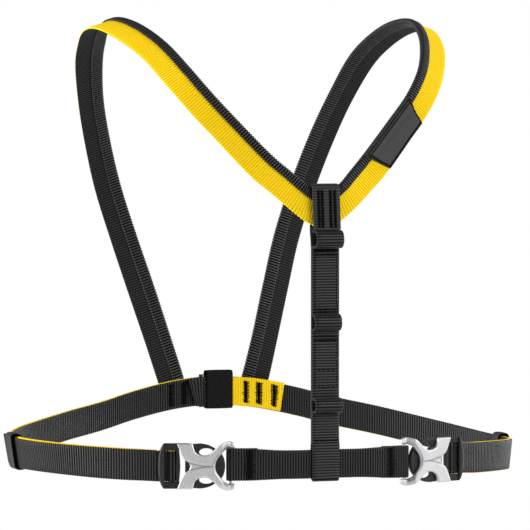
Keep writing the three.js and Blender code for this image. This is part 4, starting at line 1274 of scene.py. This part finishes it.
def make_stitch_tree():
    """Puts an arched thread on each point, turned along its stitch and out of its face."""
    tree = bpy.data.node_groups.new("sewn_thread", "GeometryNodeTree")
    tree.interface.new_socket("Geometry", in_out="INPUT", socket_type="NodeSocketGeometry")
    tree.interface.new_socket("Thread diameter", in_out="INPUT", socket_type="NodeSocketFloat")
    tree.interface.new_socket("Thread material", in_out="INPUT", socket_type="NodeSocketMaterial")
    tree.interface.new_socket("Geometry", in_out="OUTPUT", socket_type="NodeSocketGeometry")
    given = tree.nodes.new("NodeGroupInput").outputs
    put = tree.nodes.new("NodeGroupOutput").inputs
    arch = add_node(tree, "GeometryNodeCurveQuadraticBezier", {
        "Resolution": 4, "Start": (-0.5, 0, -0.4), "Middle": (0, 0, 0.9), "End": (0.5, 0, -0.4)})
    ring = add_node(tree, "GeometryNodeCurvePrimitiveCircle", {"Resolution": 6, "Radius": 0.5})
    tube = add_node(tree, "GeometryNodeCurveToMesh", {
        "Curve": arch.outputs[0], "Profile Curve": ring.outputs[0], "Fill Caps": True})
    toward = add_node(tree, "GeometryNodeInputNamedAttribute", {"Name": "toward"}, data_type="FLOAT_VECTOR")
    face = add_node(tree, "GeometryNodeInputNamedAttribute", {"Name": "face"}, data_type="FLOAT_VECTOR")
    turn = add_node(tree, "FunctionNodeAxesToRotation", {
        "Primary Axis": toward.outputs[0], "Secondary Axis": face.outputs[0]},
                    primary_axis="X", secondary_axis="Z")
    length = add_node(tree, "ShaderNodeVectorMath", {0: toward.outputs[0]}, operation="LENGTH")
    size = add_node(tree, "ShaderNodeCombineXYZ", {
        "X": length.outputs["Value"], "Y": given["Thread diameter"], "Z": given["Thread diameter"]})
    points = add_node(tree, "GeometryNodeMeshToPoints", {"Mesh": given["Geometry"]})
    placed = add_node(tree, "GeometryNodeInstanceOnPoints", {
        "Points": points.outputs[0], "Instance": tube.outputs[0], "Rotation": turn.outputs[0],
        "Scale": size.outputs[0]})
    real = add_node(tree, "GeometryNodeRealizeInstances", {"Geometry": placed.outputs[0]})
    dressed = add_node(tree, "GeometryNodeSetMaterial", {
        "Geometry": real.outputs[0], "Material": given["Thread material"]})
    tree.links.new(dressed.outputs[0], put["Geometry"])
    return tree


stitch_tree = make_stitch_tree()


def sew(name, seams, diameter, material):
    """One piece from seams of stitches: a point for each stitch, dressed by the stitch tree."""
    a, b, out = (np.concatenate(column) for column in zip(*seams))
    start, end = ((p - SHOULDER_MOUNT) / 1000 for p in (a, b))
    mesh = bpy.data.meshes.new(name)
    mesh.from_pydata(((start + end) / 2).tolist(), [], [])
    store_vectors(mesh, "toward", end - start)
    store_vectors(mesh, "face", out)
    piece = add_object(name, mesh)
    dress = piece.modifiers.new("stitches", "NODES")
    dress.node_group = stitch_tree
    values = {"Thread diameter": diameter / 1000, "Thread material": material}
    for item in stitch_tree.interface.items_tree:
        if item.in_out == "INPUT" and item.name in values:
            dress[item.identifier] = values[item.name]
    keep_modified(piece)
    piece.data.shade_smooth()
    fix_to_harness(piece, "webbing_black")


black_thread = grained_material("black_thread", (dark(0.0015), dark(0.003)), (2500.0, 2.0), (2500.0, 2.0),
                                (0.5, 0.8), Specular_IOR_Level=0.06)

FRONT_COLUMNS = (-5.4, -3.0, 2.5, 5.5)  # zigzag columns that hold the mitre, across the front strap
FRONT_COLUMN_Z = (175, 151)
FRONT_COLUMN_ZIGZAG = (1.35, 0.4)  # width and pitch
FRONT_COLUMN_LIFT = WEB_HALF + 0.1
FRONT_ROWS = (136.2, 133.6, 98.6, 96.8, 81.4, 78.6, 14.6)  # zigzag rows across the strap, by height
FRONT_ROW_HALF, FRONT_ROW_ZIGZAG = 8.0, (1.3, 0.6)
FRONT_BOX_Z = (60.2, 49.2)  # two coarse running rows
FRONT_BOX_HALF, FRONT_BOX_STITCH = 6.4, (2.9, 0.55)  # half length, and pitch with the share of it that shows
FRONT_EDGE, FRONT_EDGE_STITCH = 7.3, (2.7, 0.6)  # running rows by the edges
FRONT_EDGE_Z = ((132.5, 99.6), (77.6, 48.6))


def front_along(strip, z, last=False):
    """Distance along a front strip where it passes a height, on its first or last pass."""
    height = strip.line[:, 2]
    crossing = np.nonzero(np.diff(np.sign(height - z)))[0]
    return strip.along[crossing[-1 if last else 0]]


top, bottom = (front_along(front_base, z, last=True) for z in FRONT_COLUMN_Z)
front_seams = []
for k, x in enumerate(FRONT_COLUMNS):
    column = zigzag_stitches((top, x), (bottom, x), *FRONT_COLUMN_ZIGZAG, k)
    front_seams.append(on_strip(front_base, column, FRONT_COLUMN_LIFT))
face_rows = []
for k, z in enumerate(FRONT_ROWS):
    at = front_along(front_face, z)
    face_rows.append(zigzag_stitches((at, -FRONT_ROW_HALF), (at, FRONT_ROW_HALF), *FRONT_ROW_ZIGZAG, 20 + k))
for z in FRONT_BOX_Z:
    at = front_along(front_face, z)
    face_rows.append(running_stitches((at, -FRONT_BOX_HALF), (at, FRONT_BOX_HALF), *FRONT_BOX_STITCH))
for ends in FRONT_EDGE_Z:
    upper, lower = (front_along(front_face, z) for z in ends)
    for x in (-FRONT_EDGE, FRONT_EDGE):
        face_rows.append(running_stitches((upper, x), (lower, x), *FRONT_EDGE_STITCH))
front_seams += [on_strip(front_face, row, WEB_HALF) for row in face_rows]
sew("thread_front_strap", front_seams, THREAD_D, black_thread)

TACK_THREAD_D = 0.7
TACK_W, TACK_PITCH = 2.8, 0.5
TACK_LIFT = WEB_HALF + 0.2
TAB_TACKS, TAB_TACK_HALF = (41.9, 31, 21.6), 7.4  # along x, on the right belt's folded end
BELT_TACKS, BELT_TACK_HALF = (31.9, 22.4), 7.6  # the same on the left belt
CHEST_TACK = 14.5  # from the end of each fold
CHEST_TACK_HALF, CHEST_TACK_W = 8.4, 4.4
STRAP_TACK_ACROSS, STRAP_TACK_ENDS, STRAP_TACK_PITCH = (9.5, 15), (17, 3), 0.6  # by each shoulder strap's end


def along_at_x(strip, x):
    """Distance along a belt where it first passes a place along x."""
    return strip.along[np.nonzero(np.diff(np.sign(strip.line[:, 0] - x)))[0][0]]


def bar_tack(strip, at, half, width, lift, seed):
    return on_strip(strip, zigzag_stitches((at, -half), (at, half), width, TACK_PITCH, seed), lift)


tacks = []
for name, places, half, lift, seed in (("right", TAB_TACKS, TAB_TACK_HALF, TACK_LIFT, 40),
                                       ("left", BELT_TACKS, BELT_TACK_HALF, -TACK_LIFT, 50)):
    strip = belt_strips[name]
    tacks += [bar_tack(strip, along_at_x(strip, SIDES[name] * x), half, TACK_W, lift, seed + k)
              for k, x in enumerate(places)]
chest_x = chest_strip.line[:, 0]
for k, at in enumerate((chest_strip.along[np.argmin(chest_x)] + CHEST_TACK,
                        chest_strip.along[np.argmax(chest_x)] - CHEST_TACK)):
    tacks.append(bar_tack(chest_strip, at, CHEST_TACK_HALF, CHEST_TACK_W, WEB_HALF, 60 + k))
for k, strip in enumerate(shoulder_strips.values()):
    start, end = (strip.along[-1] - reach for reach in STRAP_TACK_ENDS)
    for across in STRAP_TACK_ACROSS:
        column = zigzag_stitches((start, across), (end, across), TACK_W, STRAP_TACK_PITCH, 70 + k)
        tacks.append(on_strip(strip, column, WEB_HALF))
sew("thread_bar_tacks", tacks, TACK_THREAD_D, black_thread)

LABEL_SEAM_INSET, LABEL_SEAM_NECK, LABEL_SEAM_PITCH = 0.8, 1.3, 2.2


def label_seam():
    """Running stitches round the label's border."""
    length, width = label_sizes()
    inset, neck = LABEL_SEAM_INSET, LABEL_SEAM_NECK
    corners = [(inset, neck), (inset, width - inset), (length - inset, width - inset), (length - inset, neck)]
    sides = zip(corners, corners[1:] + corners[:1])
    rows = np.concatenate([running_stitches(a, b, LABEL_SEAM_PITCH) for a, b in sides])
    lift = np.full(len(rows), LABEL_THICK - LABEL_BORDER_DROP)
    a = label_place(rows[:, 0] / length, rows[:, 1] / width, lift)
    b = label_place(rows[:, 2] / length, rows[:, 3] / width, lift)
    strip = shoulder_strips["right"]
    middle = np.mean(np.interp(LABEL_NECK_ROWS, strap_row, strip.along))
    return a, b, np.tile(columns_at(middle, strip.along, strip.out), (len(rows), 1))


sew("thread_label", [label_seam()], TACK_THREAD_D, black_thread)

# Floor, light and camera
# A plain white floor well below the harness, soft light from two panels in front and one on each side,
# and a long lens a little above the chest, turned to the wearer's right.
FLOOR_DROP = 0.15
CAMERA_AZIMUTH, CAMERA_ELEVATION = math.radians(-18), math.radians(2.5)
CAMERA_DISTANCE = 2.8
CAMERA_TARGET = Vector((0, -0.005, -0.1577))
CAMERA_LENS, CAMERA_SENSOR = 286.2, 36
PANELS = [  # name, place, width and height, and watts
    ("front_panel", (1.2, -1.85, 0.8), (1.6, 1.2), 36),
    ("right_front_panel", (1.1, -1.7, 0.1), (0.35, 1.2), 3),
    ("left_panel", (-1.7, 0.15, 0.2), (0.9, 1.6), 46),
    ("right_panel", (1.7, 0.3, 0.2), (0.9, 1.6), 26),
]
SURROUNDINGS = 0.25  # how far the white around the harness lights it


def make_floor(radius=1.0):
    mesh = bpy.data.meshes.new("floor")
    angles = np.linspace(0, 2 * math.pi, 96, endpoint=False)
    height = cad_box[0].z - FLOOR_DROP
    rim = [(radius * math.cos(a), radius * math.sin(a), height) for a in angles]
    mesh.from_pydata(rim, [], [tuple(range(len(rim)))])
    floor = add_object("floor", mesh)
    material, _, shader = blank_material("white_floor")
    set_shader(shader, Base_Color=(0.9, 0.9, 0.9, 1), Roughness=0.9, Specular_IOR_Level=0.0)
    mesh.materials.append(material)


def soft_panel(name, place, size, watts):
    light = bpy.data.lights.new(name, "AREA")
    light.shape = "RECTANGLE"
    light.size, light.size_y = size
    light.energy = watts
    lamp = add_object(name, light)
    lamp.location = place
    lamp.rotation_mode = "QUATERNION"
    lamp.rotation_quaternion = (CAMERA_TARGET - Vector(place)).to_track_quat("-Z", "Y")


def make_camera():
    a, e = CAMERA_AZIMUTH, CAMERA_ELEVATION
    back = Vector((math.sin(a) * math.cos(e), -math.cos(a) * math.cos(e), math.sin(e)))
    lens = bpy.data.cameras.new("camera")
    lens.sensor_width, lens.lens = CAMERA_SENSOR, CAMERA_LENS
    lens.clip_end = 200
    camera = add_object("camera", lens)
    camera.location = CAMERA_TARGET + back * CAMERA_DISTANCE
    camera.rotation_mode = "QUATERNION"
    camera.rotation_quaternion = (-back).to_track_quat("-Z", "Y")
    bpy.context.scene.camera = camera


def white_surroundings(strength):
    """White to the lens, and a softer white as light on the harness."""
    world = bpy.data.worlds.new("white_surroundings")
    world.use_nodes = True
    tree = world.node_tree
    background = tree.nodes["Background"]
    to_lens = add_node(tree, "ShaderNodeLightPath").outputs["Is Camera Ray"]
    background.inputs["Color"].default_value = (1, 1, 1, 1)
    white = calc(tree, "MULTIPLY_ADD", to_lens, 1.0 - strength, strength)
    tree.links.new(white, background.inputs["Strength"])
    bpy.context.scene.world = world


make_floor()
for panel in PANELS:
    soft_panel(*panel)
white_surroundings(SURROUNDINGS)
make_camera()
bpy.context.scene.view_settings.view_transform = "Standard"
